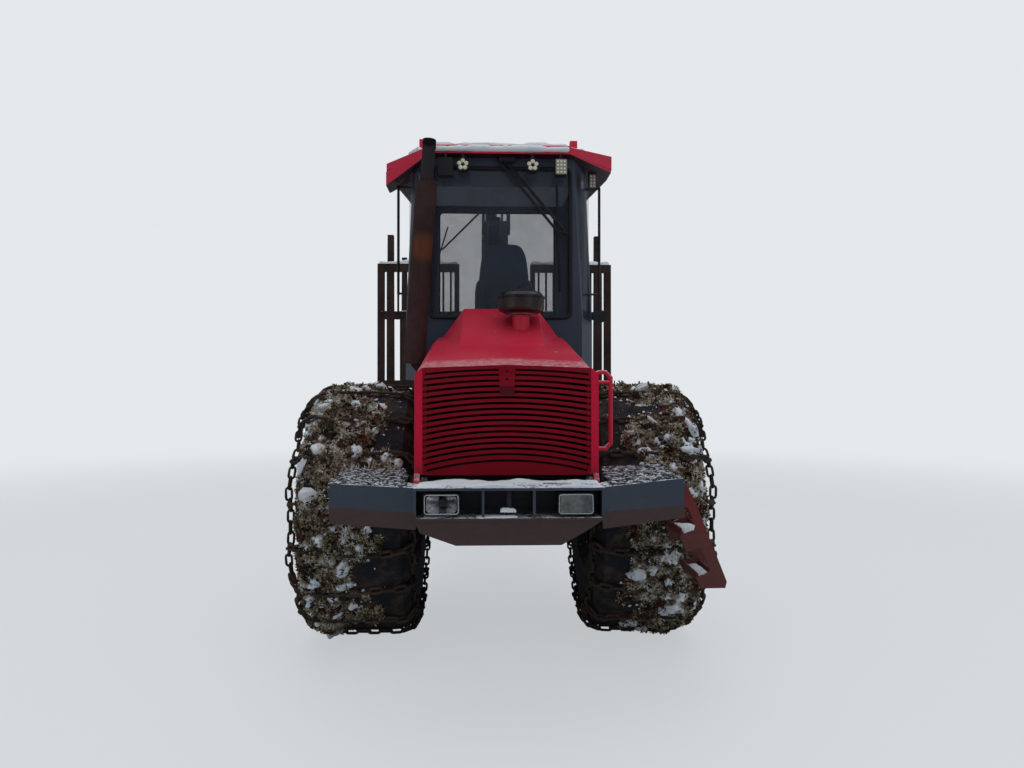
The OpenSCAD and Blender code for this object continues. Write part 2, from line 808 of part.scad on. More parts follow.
// Step between the stringers with a row of teeth along each edge
module ladder_step(x0, x1, z) {
    back = ladder_y + ladder_w - 1;
    block([x0, ladder_y + 1, z - 12], [x1, back, z]);
    for (x = [x0, x1 - step_edge]) across(x, x + step_edge) polygon(concat(
        [[ladder_y + 1, z - 6]],
        [for (y = [ladder_y + 1 : tooth_pitch : back - tooth_pitch],
        p = [[0, 14], [0.35, step_teeth], [0.65, step_teeth]])
            [y + p[0] * tooth_pitch, z + p[1]]],
        [[back, z + 14], [back, z - 6]]
    ));
}
ladder_pin_r = 8;
ladder_top = [925, 1120];
ladder_lean = 21.6;
ladder_y = -1270;
ladder_w = 340;
ladder_plate_t = 12;
step_edge = 6;
step_teeth = 30;
tooth_pitch = 26;
// Steps from the ladder's pin: inner edge, outer edge, top of the tread
ladder_steps = [[-10, 120, -263], [75, 180, -498]];

// WHEELS

// Tyre's section in radius and width: rim radius, tread radius, width
module tyre_section(rim, tread, w) {
    polygon([
        [rim + seat_gap, -w / 2 + 60], [rim + 60, -w / 2 + 12], [(rim + tread) / 2, -w / 2],
        [tread - 70, -w / 2 + 12],
        [tread - 12, -w / 2 + 55], [tread, -w / 4], [tread, w / 4], [tread - 12, w / 2 - 55],
        [tread - 70, w / 2 - 12], [(rim + tread) / 2, w / 2], [rim + 60, w / 2 - 12],
        [rim + seat_gap, w / 2 - 60],
    ]);
}

// Turned about X, standing at the wheel's middle
module turned() { rotate([0, 90, 0]) rotate_extrude($fn = 64) children(); }

module front_tyre() { color(rubber) turned() tyre_section(front_rim_r, front_tyre_r, front_tyre_w); }

// Rim with its flanges, dished disc, hub boss and blind bore: rim radius, width, hub sizes, track
module rim(r, w, hub, track) {
    back = hub[0] - track + side_gap;
    face = hub[1] - track + 60;
    color(red) difference() {
        turned() {
            // Rim bed with a flange at each edge
            polygon([
                [r - 26, -w / 2 + 66], [r, -w / 2 + 66], [r, w / 2 - 66], [r - 26, w / 2 - 66],
                [r - 26, w / 2 - 80],
                [r - 14, w / 2 - 84], [r - 14, 40 - w / 2 + 44], [r - 26, 80 - w / 2],
            ]);
            // Disc and hub
            polygon([
                [0, back], [hub[2] + 60, back], [hub[2] + 60, 20], [r * 0.62, 34], [r - 20, 60],
                [r - 12, 60],
                [r - 12, 78], [r * 0.66, 50], [hub[2] + 75, 34], [hub[2] + 75, face - 30],
                [hub[2] + 55, face - 22],
                [hub[2] + 20, face - 20], [hub[2] + 12, face], [0, face],
            ]);
        }
        x_rod(hub[0] - track - 5, hub[1] - track + side_gap, hub[2] + run_gap);
        // Hand holes in the disc
        for (i = [0 : hand_holes - 1]) rotate([(i + 0.5) * 360 / hand_holes, 0, 0])
            x_rod(0, 110, r * 0.075, 0, r * 0.76);
    }
}
hand_holes = 8;

module front_rim() { rim(front_rim_r, front_tyre_w, front_hub, front_track); }
module rear_rim() { rim(rear_rim_r, rear_tyre_w, rear_hub, rear_track); }

module front_chain() {
    color(steel) {
        for (side = [-1, 1]) translate([side * (front_tyre_w / 2 + 8), 0, 0]) turned()
            translate([620, side > 0 ? 0 : -16]) square([24, 16]);
        for (i = [0 : chain_rows - 1]) rotate([i * 360 / chain_rows, 0, 0]) translate([0, link_half, 0])
            rotate([90, 0, 0]) linear_extrude(2 * link_half) chain_hoop();
    }
}

// One cross chain's outline in X and Z, over the tyre from side chain to side chain
module chain_hoop() {
    w = front_tyre_w / 2;
    t = front_tyre_r;
    top = -front_axle_z;
    polygon([
        [-w - 34, -610], [-w - 34, -t + 90], [-w + 20, top + 25], [-w + 70, top], [w - 70, top],
        [w - 20, top + 25],
        [w + 34, -t + 90], [w + 34, -610], [w + 8, -610], [w + 8, -t + 80], [w - 54, -t + 4],
        [w - 80, -t - 1],
        [-w + 80, -t - 1], [-w + 54, -t + 4], [-w - 8, -t + 80], [-w - 8, -610],
    ]);
}

module rear_tyre() {
    color(rubber) {
        turned() tyre_section(rear_rim_r, rear_r - rear_lug_h, rear_tyre_w);
        for (side = [-1, 1], i = [0 : rear_lugs - 1])
            rotate([(i + (side > 0 ? 0 : 0.5)) * 360 / rear_lugs, 0, 0])
                translate([side * rear_tyre_w * 0.24, 0, 0])
                rotate([0, 0, side * lug_turn]) translate([0, 0, -lug_top])
                    translate([-lug_long / 2, -lug_wide / 2, 0])
                        cube([lug_long, lug_wide, rear_lug_h + 12]);
    }
}
lug_turn = 30;
lug_long = 270;
lug_wide = 42;
lug_reach = lug_long / 2 * sin(lug_turn) + lug_wide / 2 * cos(lug_turn);
lug_top = chord_height(rear_r, lug_reach);

// Place of a front wheel, its outer face away from the machine
module at_front_wheel(side) {
    placed() translate([side * front_track, 0, front_axle_z]) mirror([side < 0 ? 1 : 0, 0, 0]) children();
}

// Place of a rear wheel at the front (-1) or back (1) end of its bogie
module at_rear_wheel(side, end) {
    placed() translate([side * rear_track, bogie_y + end * bogie_pitch / 2, rear_axle_z])
        mirror([side < 0 ? 1 : 0, 0, 0]) children();
}

// CENTRE JOINT and steering cylinders

module centre_joint() {
    color(navy) {
        block([-130, pivot_y - 110, roll_z - 160 + side_gap],
            [130, pivot_y + 140, roll_z + 160 - side_gap]);
        z_rod(clevis_z[1], clevis_z[0] + clevis_t, pivot_pin_r, 0, pivot_y);
        y_rod(pivot_y + 135, roll_end, roll_r, 0, roll_z);
        both_sides() for (z = [roll_z - 55, roll_z + 30]) up(z, z + 25) {
            translate([125, steer_eye[1] - 45]) square([steer_eye[0] - 125, 90]);
            translate(steer_eye) circle(45);
        }
    }
}
roll_end = 2235;

// Cylinder barrel lying along +X from its foot pin: pin, eye and barrel radius, the barrel's start
// and end, the eye's width and the rod's radius
module barrel(pin, eye, r, start, end, wide, rod) {
    difference() {
        union() {
            translate([0, 0, -wide / 2]) linear_extrude(wide) {
                circle(eye);
                polygon([[0, -eye], [start + 5, -r * 0.7], [start + 5, r * 0.7], [0, eye]]);
            }
            x_rod(start, end, r);
        }
        translate([0, 0, -wide]) cylinder(h = 2 * wide, r = pin + run_gap);
        x_rod(eye + 5, end + 5, rod + seat_gap);
    }
}

// Cylinder rod lying along -X from its eye
module rod(r, length, eye, wide, hole) {
    difference() {
        union() {
            translate([0, 0, -wide / 2]) cylinder(h = wide, r = eye);
            x_rod(-length, -hole - 4, r);
        }
        translate([0, 0, -wide]) cylinder(h = 2 * wide, r = hole);
    }
}

steer_turn = atan2(steer_eye[1] - steer_foot[1], steer_eye[0] - steer_foot[0]);
module steer_barrel() {
    color(grey) translate([steer_foot[0], steer_foot[1], roll_z]) rotate([0, 0, steer_turn])
        barrel(steer_pin_r, 38, steer_barrel_r, 62, 590, 60, steer_rod_r);
}

module steer_rod() {
    color(steel) translate([steer_eye[0], steer_eye[1], roll_z]) rotate([0, 0, steer_turn])
        rod(steer_rod_r, 440, 34, 40, steer_pin_r);
}

// REAR BODY

module rear_frame() {
    color(navy) {
        difference() {
            union() {
                y_rod(2020, 2240, 180, 0, roll_z);
                block([-240, 2160, 700], [240, 2240, base_low]);
            }
            y_rod(2015, 2245, roll_r + run_gap, 0, roll_z);
        }
        block([-240, 2239, 700], [240, 2700, base_low]);
        block([-240, 2610, base_low - 5], [240, 2700, beam_top]);
        both_sides() {
            block([beam_half - beam_w / 2, 2640, beam_low], [beam_half + beam_w / 2, tail_y, beam_top]);
            block([beam_half - beam_w / 2, bogie_y - 200, bogie_z - 120],
                [beam_half + beam_w / 2, bogie_y + 200, beam_low + 5]);
            x_rod(beam_half, bogie_face - side_gap, 110, bogie_y, bogie_z);
            x_rod(beam_half, bogie_face + bogie_wide + 20, bogie_pin_r, bogie_y, bogie_z);
        }
        for (y = [3150, 3900, bogie_y, 5350, 6050, tail_y - 80])
            block([-beam_half, y - 50, beam_low + 30], [beam_half, y + 50, beam_top - 20]);
        difference() {
            block([-beam_half - 55, tail_y - 60, 900], [beam_half + 55, tail_y, beam_top]);
            block([-100, tail_y - 80, 940], [100, tail_y + 5, 1010]);
        }
        // Plates of the rear hitch, bored for its pin
        for (z = [900, 1010]) difference() {
            up(z, z + 40) {
                translate([-100, tail_y - 30]) square([200, 70]);
                translate([0, tail_y + 40]) circle(100);
            }
            z_rod(z - 5, z + 45, hitch_r, 0, tail_y + 50);
        }
    }
}
hitch_r = 25;

// Lamps at the back end of the rear frame
module tail_lamps() {
    color(red) both_sides() {
        along(tail_y + seat_gap, tail_y + 45) translate([265, 1150]) rounded(110, 90, 14);
        along(tail_y + seat_gap, tail_y + 30) translate([265, 1040]) rounded(90, 60, 10);
    }
}
base_low = 1090;
bogie_face = 430;
bogie_wide = 155;
bogie_pin_r = 70;

module load_gate() {
    color(rust) {
        // Level bars: height, half width, place of the notch
        for (z = [gate_low, gate_mid])
            block([-gate_half, gate_y, z - 40], [gate_half, gate_y + 60, z + 40]);
        both_sides() {
            block([notch_half, gate_y, gate_top - 80], [gate_half, gate_y + 60, gate_top]);
            for (x = [gate_half - 70, gate_half - 165])
                block([x, gate_y, gate_low], [x + 70, gate_y + 60, gate_top]);
            for (x = [notch_half : 78 : gate_half - 180])
                block([x, gate_y + 20, gate_mid], [x + 20, gate_y + 40, gate_top - 70]);
            for (x = [30 : 78 : gate_half - 180])
                block([x, gate_y + 20, gate_low], [x + 20, gate_y + 40, gate_mid]);
            block([notch_half, gate_y, gate_mid], [notch_half + 50, gate_y + 60, gate_top]);
            block([180, gate_y, beam_top + seat_gap], [260, gate_y + 60, gate_low]);
        }
    }
}
gate_mid = 2375;
notch_half = 370;

// Bunks: places of the three cross beams
bunk_ys = [3150, bogie_y, 6050];
bunk_low = beam_top + seat_gap;
bunk_h = 230;
module bunks() {
    color(red) for (y = bunk_ys) {
        block([-stake_half - 40, y - 70, bunk_low + 80], [stake_half + 40, y + 70, bunk_low + bunk_h]);
        block([-beam_half - 60, y - 60, bunk_low], [beam_half + 60, y + 60, bunk_low + 85]);
        for (side = [-1, 1]) along(y - 35, y + 35) polygon([
            [side * (stake_half - 40), bunk_low + bunk_h - 5],
            [side * (stake_half + 40), bunk_low + bunk_h - 5],
            [side * (stake_half + 32), stake_top], [side * (stake_half - 32), stake_top],
        ]);
    }
}

module crane_base() {
    color(navy) {
        block([-230, crane_y - 180, base_low + seat_gap], [230, 2590, 1160]);
        difference() {
            z_rod(1155, 1480, 170, 0, crane_y);
            z_rod(1300, 1485, slew_r + run_gap, 0, crane_y);
        }
        for (y = [crane_y - 120, crane_y + 120]) x_rod(-330, 330, 70, y, 1225);
    }
}
slew_r = 100;

// BOGIES

module bogie() {
    color(navy) {
        difference() {
            across(bogie_face, bogie_face + bogie_wide) {
                link_outline([bogie_y - bogie_pitch / 2, rear_axle_z], [bogie_y, bogie_z], 105);
                link_outline([bogie_y + bogie_pitch / 2, rear_axle_z], [bogie_y, bogie_z], 105);
                translate([bogie_y, bogie_z]) circle(150);
            }
            x_rod(bogie_face - 5, bogie_face + bogie_wide + 5, bogie_pin_r + run_gap, bogie_y, bogie_z);
        }
        for (y = [-1, 1]) {
            x_rod(bogie_face + bogie_wide - 5, rear_hub[0], 95, bogie_y + y * bogie_pitch / 2, rear_axle_z);
            x_rod(rear_hub[0] - 5, rear_hub[1], rear_hub[2], bogie_y + y * bogie_pitch / 2, rear_axle_z);
        }
    }
}

// CRANE: each piece is drawn along +Y from its own pivot, level, and then tipped up

module at_boom() { translate([0, crane_y, boom_z]) rotate([boom_rest, 0, 0]) children(); }
module at_jib() { at_boom() translate([0, boom_len, 0]) rotate([jib_rest - boom_rest, 0, 0]) children(); }
boom_pin_r = 35;
lift_foot = [240, 2250];
lift_eye = [900, -240];
lift_barrel_r = 60;
lift_rod_r = 35;
lift_pin_r = 30;
jib_foot = [boom_len - 1500, 250];
jib_horn = [-138, 116];
jib_barrel_r = 50;
jib_rod_r = 25;
jib_pin_r = 25;

module crane_column() {
    color(grey) {
        z_rod(1305, 1500, slew_r, 0, crane_y);
        z_rod(1480 + side_gap, 1600, 165, 0, crane_y);
        hull() {
            block([-140, crane_y - 150, 1590], [140, crane_y + 150, 1600]);
            block([-110, crane_y - 110, 3180], [110, crane_y + 90, 3200]);
        }
        for (side = [-1, 1]) {
            difference() {
                across(side > 0 ? 104 : -134, side > 0 ? 134 : -104)
                    link_outline([crane_y, boom_z], [crane_y - 10, 3180], 95);
                x_rod(-200, 200, boom_pin_r + run_gap, crane_y, boom_z);
            }
            across(side > 0 ? 60 : -85, side > 0 ? 85 : -60)
                link_outline([crane_y + 70, lift_foot[1] - 60], [crane_y + lift_foot[0], lift_foot[1]], 55);
        }
        x_rod(-85, 85, lift_pin_r, crane_y + lift_foot[0], lift_foot[1]);
    }
}

module main_boom() {
    color(red) at_boom() {
        across(-boom_w / 2, boom_w / 2) {
            polygon([[0, -95], [500, -boom_h / 2], [boom_len - 350, -boom_h / 2], [boom_len - 150, -80],
                     [boom_len - 150, 20], [boom_len - 750, boom_h / 2], [500, boom_h / 2], [0, 95]]);
            circle(95);
        }
        x_rod(-134, 134, boom_pin_r);
        both_sides() {
            difference() {
                across(jib_w / 2 + side_gap, jib_w / 2 + side_gap + 25) {
                    link_outline([boom_len - 260, -20], [boom_len, 0], 75);
                }
                x_rod(0, 200, jib_bolt_r + run_gap, boom_len, 0);
            }
            across(lift_rod_w / 2 + side_gap, boom_w / 2) boom_ear(lift_eye, 55, -boom_h / 2 + 5, 200);
            across(jib_eye_w / 2 + side_gap, jib_eye_w / 2 + side_gap + 20)
                boom_ear(jib_foot, 45, boom_h / 2 - 5, 160);
        }
        x_rod(-jib_eye_w / 2 - 20, jib_eye_w / 2 + 20, jib_pin_r, jib_foot[0], jib_foot[1]);
    }
}
// Ear on the boom's face at height z, with a foot of half length half, round a cylinder's pin
module boom_ear(eye, r, z, half) {
    polygon([[eye[0] - half, z], eye + [-r, 0], eye + [r, 0], [eye[0] + half, z]]);
    translate(eye) circle(r);
}
jib_bolt_r = 30;
lift_rod_w = 128;
jib_eye_w = 64;

module jib() {
    color(red) at_jib() {
        difference() {
            union() {
                across(-jib_w / 2, jib_w / 2) {
                    polygon([[0, -85], [250, -jib_h / 2], [jib_len, -jib_h / 2], [jib_len, jib_h / 2],
                        [250, jib_h / 2], [0, 85]]);
                    circle(85);
                }
                both_sides() across(jib_eye_w / 2 + side_gap - 2, jib_w / 2) {
                    link_outline([0, 0], jib_horn, 45);
                }
            }
            // Slot in which the cylinder's rod passes the pivot
            across(-jib_eye_w / 2 - 5, jib_eye_w / 2 + 5) difference() {
                translate([-200, -200]) square([330, 400]);
                circle(42);
                polygon([[0, -42], [140, -42], [140, 10], [0, 42]]);
            }
            block([-jib_w / 2 + jib_wall, 420, -jib_h / 2 + jib_wall],
                [jib_w / 2 - jib_wall, jib_len - 80, jib_h / 2 - jib_wall]);
            block([-jib_w / 2 + jib_wall + pad_in, 415, -jib_h / 2 + jib_wall + pad_in],
                  [jib_w / 2 - jib_wall - pad_in, jib_len + 5, jib_h / 2 - jib_wall - pad_in]);
        }
        x_rod(-jib_w / 2 - 31, jib_w / 2 + 31, jib_bolt_r);
    }
}

// Wall of the jib's box, and how far the slide pads in its mouth stand in from it
jib_wall = 15;
pad_in = side_gap - seat_gap;

module extension() {
    color(red) at_jib() {
        block([-jib_w / 2 + jib_wall + side_gap, 440, -jib_h / 2 + jib_wall + side_gap],
              [jib_w / 2 - jib_wall - side_gap, jib_len + tip_out - 140, jib_h / 2 - jib_wall - side_gap]);
        block([-jib_w / 2 + jib_wall + seat_gap, 430, -jib_h / 2 + jib_wall + seat_gap],
              [jib_w / 2 - jib_wall - seat_gap, 520, jib_h / 2 - jib_wall - seat_gap]);
        for (side = [-1, 1]) difference() {
            across(side > 0 ? 30 : -44, side > 0 ? 44 : -30)
                link_outline([jib_len + tip_out - 210, 0], [jib_len + tip_out, 0], 42);
            x_rod(-80, 80, tip_pin_r + run_gap, jib_len + tip_out, 0);
        }
    }
}
tip_pin_r = 20;
tip = [crane_y + boom_len * cos(boom_rest) + (jib_len + tip_out) * cos(jib_rest),
       boom_z + boom_len * sin(boom_rest) + (jib_len + tip_out) * sin(jib_rest)];

module at_tip() { translate([0, tip[0], tip[1]]) children(); }

module hanger() {
    color(steel) at_tip() {
        across(-24, 24) link_outline([0, 0], [0, -120], 40);
        x_rod(-44, 44, tip_pin_r);
        z_rod(-190, -120, 45);
    }
}

module rotator() {
    color(grey) at_tip() {
        z_rod(-360, -196, 90);
        z_rod(-200, -190 - seat_gap, 60);
        across(-60, 60) polygon([[-90, -355], [90, -355], [90, -500], [-90, -500]]);
        for (side = [-1, 1]) x_rod(-jaw_half, jaw_half, jaw_pin_r, side * jaw_pin[0], jaw_pin[1]);
    }
}

module grapple_jaw(side) {
    color(red) at_tip() difference() {
        union() {
            for (x = [-jaw_half, jaw_half - arm_w]) across(x, x + arm_w) jaw_arm(side);
            across(2 - jaw_half, jaw_half - 2) {
                link_outline([side * 262, -660], [side * 268, -740], 14);
                link_outline([side * 235, -870], [side * 180, -950], 12);
            }
        }
        x_rod(-300, 300, jaw_pin_r + run_gap, side * jaw_pin[0], jaw_pin[1]);
    }
}
module jaw_arm(side) {
    link_outline([side * jaw_pin[0], jaw_pin[1]], [side * 240, -640], 34);
    link_outline([side * 240, -640], [side * 230, -860], 30);
    link_outline([side * 230, -860], [side * 32, -1035], 22);
}
jaw_pin = [50, -455];
jaw_pin_r = 20;
jaw_half = 150;
arm_w = 44;

module lift_barrel_piece() {
    color(grey) translate([0, crane_y + lift_foot[0], lift_foot[1]]) rotate([90, 0, 90])
        rotate([0, 0, lift_angle])
        barrel(lift_pin_r, 52, lift_barrel_r, 68, lift_barrel_len, 100, lift_rod_r);
}
lift_eye_at = [crane_y + lift_eye[0] * cos(boom_rest) - lift_eye[1] * sin(boom_rest),
               boom_z + lift_eye[0] * sin(boom_rest) + lift_eye[1] * cos(boom_rest)];
lift_angle = atan2(lift_eye_at[1] - lift_foot[1], lift_eye_at[0] - crane_y - lift_foot[0]);
lift_barrel_len = 985;
lift_rod_len = 1010;
module lift_rod_piece() {
    color(steel) translate([0, lift_eye_at[0], lift_eye_at[1]]) rotate([90, 0, 90])
        rotate([0, 0, lift_angle])
        rod(lift_rod_r, lift_rod_len, 45, lift_rod_w, lift_pin_r);
}

jib_bend = jib_rest - boom_rest;
jib_horn_in_boom = [boom_len + jib_horn[0] * cos(jib_bend) - jib_horn[1] * sin(jib_bend),
                    jib_horn[0] * sin(jib_bend) + jib_horn[1] * cos(jib_bend)];
jib_barrel_len = 900;
jib_rod_len = 870;
jib_angle = atan2(jib_horn_in_boom[1] - jib_foot[1], jib_horn_in_boom[0] - jib_foot[0]);
module jib_barrel_piece() {
    color(grey) at_boom() translate([0, jib_foot[0], jib_foot[1]]) rotate([90, 0, 90])
        rotate([0, 0, jib_angle])
        barrel(jib_pin_r, 42, jib_barrel_r, 105, jib_barrel_len, jib_eye_w, jib_rod_r);
}
module jib_rod_piece() {
    color(steel) at_boom() translate([0, jib_horn_in_boom[0], jib_horn_in_boom[1]]) rotate([90, 0, 90])
        rotate([0, 0, jib_angle])
        rod(jib_rod_r, jib_rod_len, 38, jib_eye_w - 4, jib_pin_r);
}

placed() front_frame();
placed() side_boxes();
placed() engine_block();
placed() front_axle();
placed() bumper();
placed() lamps();
placed() cab_shell();
placed() cab_roof();
placed() cab_glass();
placed() seat();
placed() console();
placed() exhaust();
placed() cab_fittings();
placed() hood();
placed() grille();
placed() precleaner();
placed() door();
placed() door_glass();
placed() ladder();
at_front_wheel(1) front_tyre();  // front_left_tyre
at_front_wheel(1) front_rim();  // front_left_rim
at_front_wheel(1) front_chain();  // front_left_chain
at_front_wheel(-1) front_tyre();  // front_right_tyre
at_front_wheel(-1) front_rim();  // front_right_rim
at_front_wheel(-1) front_chain();  // front_right_chain
placed() centre_joint();
placed() steer_barrel();  // steer_left_barrel
placed() steer_rod();  // steer_left_rod
placed() mirror([1, 0, 0]) steer_barrel();  // steer_right_barrel
placed() mirror([1, 0, 0]) steer_rod();  // steer_right_rod
placed() rear_frame();
placed() tail_lamps();
placed() load_gate();
placed() bunks();
placed() crane_base();
placed() bogie();  // bogie_left
placed() mirror([1, 0, 0]) bogie();  // bogie_right
at_rear_wheel(1, -1) rear_tyre();  // rear_tyre_1
at_rear_wheel(1, -1) rear_rim();  // rear_rim_1
at_rear_wheel(1, 1) rear_tyre();  // rear_tyre_2
at_rear_wheel(1, 1) rear_rim();  // rear_rim_2
at_rear_wheel(-1, -1) rear_tyre();  // rear_tyre_3
at_rear_wheel(-1, -1) rear_rim();  // rear_rim_3
at_rear_wheel(-1, 1) rear_tyre();  // rear_tyre_4
at_rear_wheel(-1, 1) rear_rim();  // rear_rim_4
placed() crane_column();
placed() main_boom();
placed() lift_barrel_piece();  // lift_barrel
placed() lift_rod_piece();  // lift_rod
placed() jib();
placed() jib_barrel_piece();  // jib_barrel
placed() jib_rod_piece();  // jib_rod
placed() extension();
placed() hanger();
placed() rotator();
placed() grapple_jaw(1);  // grapple_left
placed() grapple_jaw(-1);  // grapple_right
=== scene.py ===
import math
import random

import bmesh
import bpy
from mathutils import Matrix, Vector, noise


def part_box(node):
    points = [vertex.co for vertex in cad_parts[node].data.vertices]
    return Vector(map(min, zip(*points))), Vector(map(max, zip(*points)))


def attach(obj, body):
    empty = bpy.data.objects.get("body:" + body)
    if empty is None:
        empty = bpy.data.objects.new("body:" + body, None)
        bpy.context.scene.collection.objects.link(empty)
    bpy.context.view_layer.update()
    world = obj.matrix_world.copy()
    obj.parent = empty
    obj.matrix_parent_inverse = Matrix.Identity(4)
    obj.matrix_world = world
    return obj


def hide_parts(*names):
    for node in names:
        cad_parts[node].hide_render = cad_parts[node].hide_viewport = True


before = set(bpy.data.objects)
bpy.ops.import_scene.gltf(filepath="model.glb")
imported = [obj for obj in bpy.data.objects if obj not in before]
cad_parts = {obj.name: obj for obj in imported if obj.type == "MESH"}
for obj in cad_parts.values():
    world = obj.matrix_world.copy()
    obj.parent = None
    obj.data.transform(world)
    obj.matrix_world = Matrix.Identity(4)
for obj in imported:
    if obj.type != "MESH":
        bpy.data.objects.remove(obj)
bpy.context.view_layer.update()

# Wheels: the front axle, from which places along the machine are written, + towards the back,
# and each tyre's middle from the machine's middle
FRONT_AXLE_Y = -2.6815
FRONT_AXLE_Z = 0.8193
FRONT_TRACK = 0.875
REAR_TRACK = 0.925

# Camera: where it stands, and its lens
CAMERA_X = -0.115
CAMERA_AHEAD = 5.25
EYE_HEIGHT = 1.62
FOCAL_MM, SENSOR_MM = 27.04, 36.0
TILT, PAN = 90.3, -2.1

# The photograph at 1024 pixels width: focal length, column where the machine's middle plane
# vanishes, how far that plane lies to the side at 1 m from the camera, and the horizon's row
FOCAL_PX = 769
VANISHING_PX = 483.5
ASIDE_PX = 88.4
HORIZON_PX = 388

# Cab: heights of its ceiling and roof, the roof rail's front and back, the round lamps' faces,
# and the seat's middle and foot
CEILING = 3.2195
ROOF_TOP = 3.269
RAIL_FROM, RAIL_TO = 0.742, 0.798
LAMP_S = -0.062
SEAT_X = 0.05
SEAT_FOOT = 1.98

# Headlamps in the bumper's box, and the grille's face
HEADLAMP_RIGHT = -0.305
HEADLAMP_LEFT = 0.302
HEADLAMP_Z = 1.097
GRILLE_S = -1.451

# Crane at rest: slopes in degrees, the boom's length, and where the boom starts
BOOM_SLOPE = 15
JIB_SLOPE = 12
BOOM_LENGTH = 2.6
BOOM_S, BOOM_Z = 2.12, 3.42

# Edges under this angle, in degrees, are shaded round
ROUND = 35
SOFT = 60
FLAT = 0


def at(x, s, z):
    """A point of the machine: left, behind the front axle, and up."""
    return Vector((x, FRONT_AXLE_Y + s, z))


def turns(count):
    """The angles of count even steps round a circle."""
    return [2 * math.pi * k / count for k in range(count)]


def toned(colour, factor):
    """A colour made lighter or darker."""
    return tuple(factor * c for c in colour)


# Finishes

class Signal:
    """One output socket of a finish, with the arithmetic that the finishes use."""

    def __init__(self, finish, socket):
        self.finish = finish
        self.socket = socket

    def __add__(self, other):
        return self.finish.sum_of("ADD", self, other)

    def __sub__(self, other):
        return self.finish.sum_of("SUBTRACT", self, other)

    def __rsub__(self, other):
        return self.finish.sum_of("SUBTRACT", other, self)

    def __mul__(self, other):
        return self.finish.sum_of("MULTIPLY", self, other)

    __radd__ = __add__
    __rmul__ = __mul__

    def between(self, low, high):
        """0 below low, 1 above high, with a smooth step from one to the other."""
        return self.finish.node("ShaderNodeMapRange", {"interpolation_type": "SMOOTHSTEP"},
                                {"Value": self, "From Min": low, "From Max": high})

    def within(self, low, high, rise, fall):
        """1 from low to high, with a smooth step at each end, inside them."""
        return self.between(low, low + rise) * (1 - self.between(high - fall, high))

    def most(self, other):
        return self.finish.sum_of("MAXIMUM", self, other)


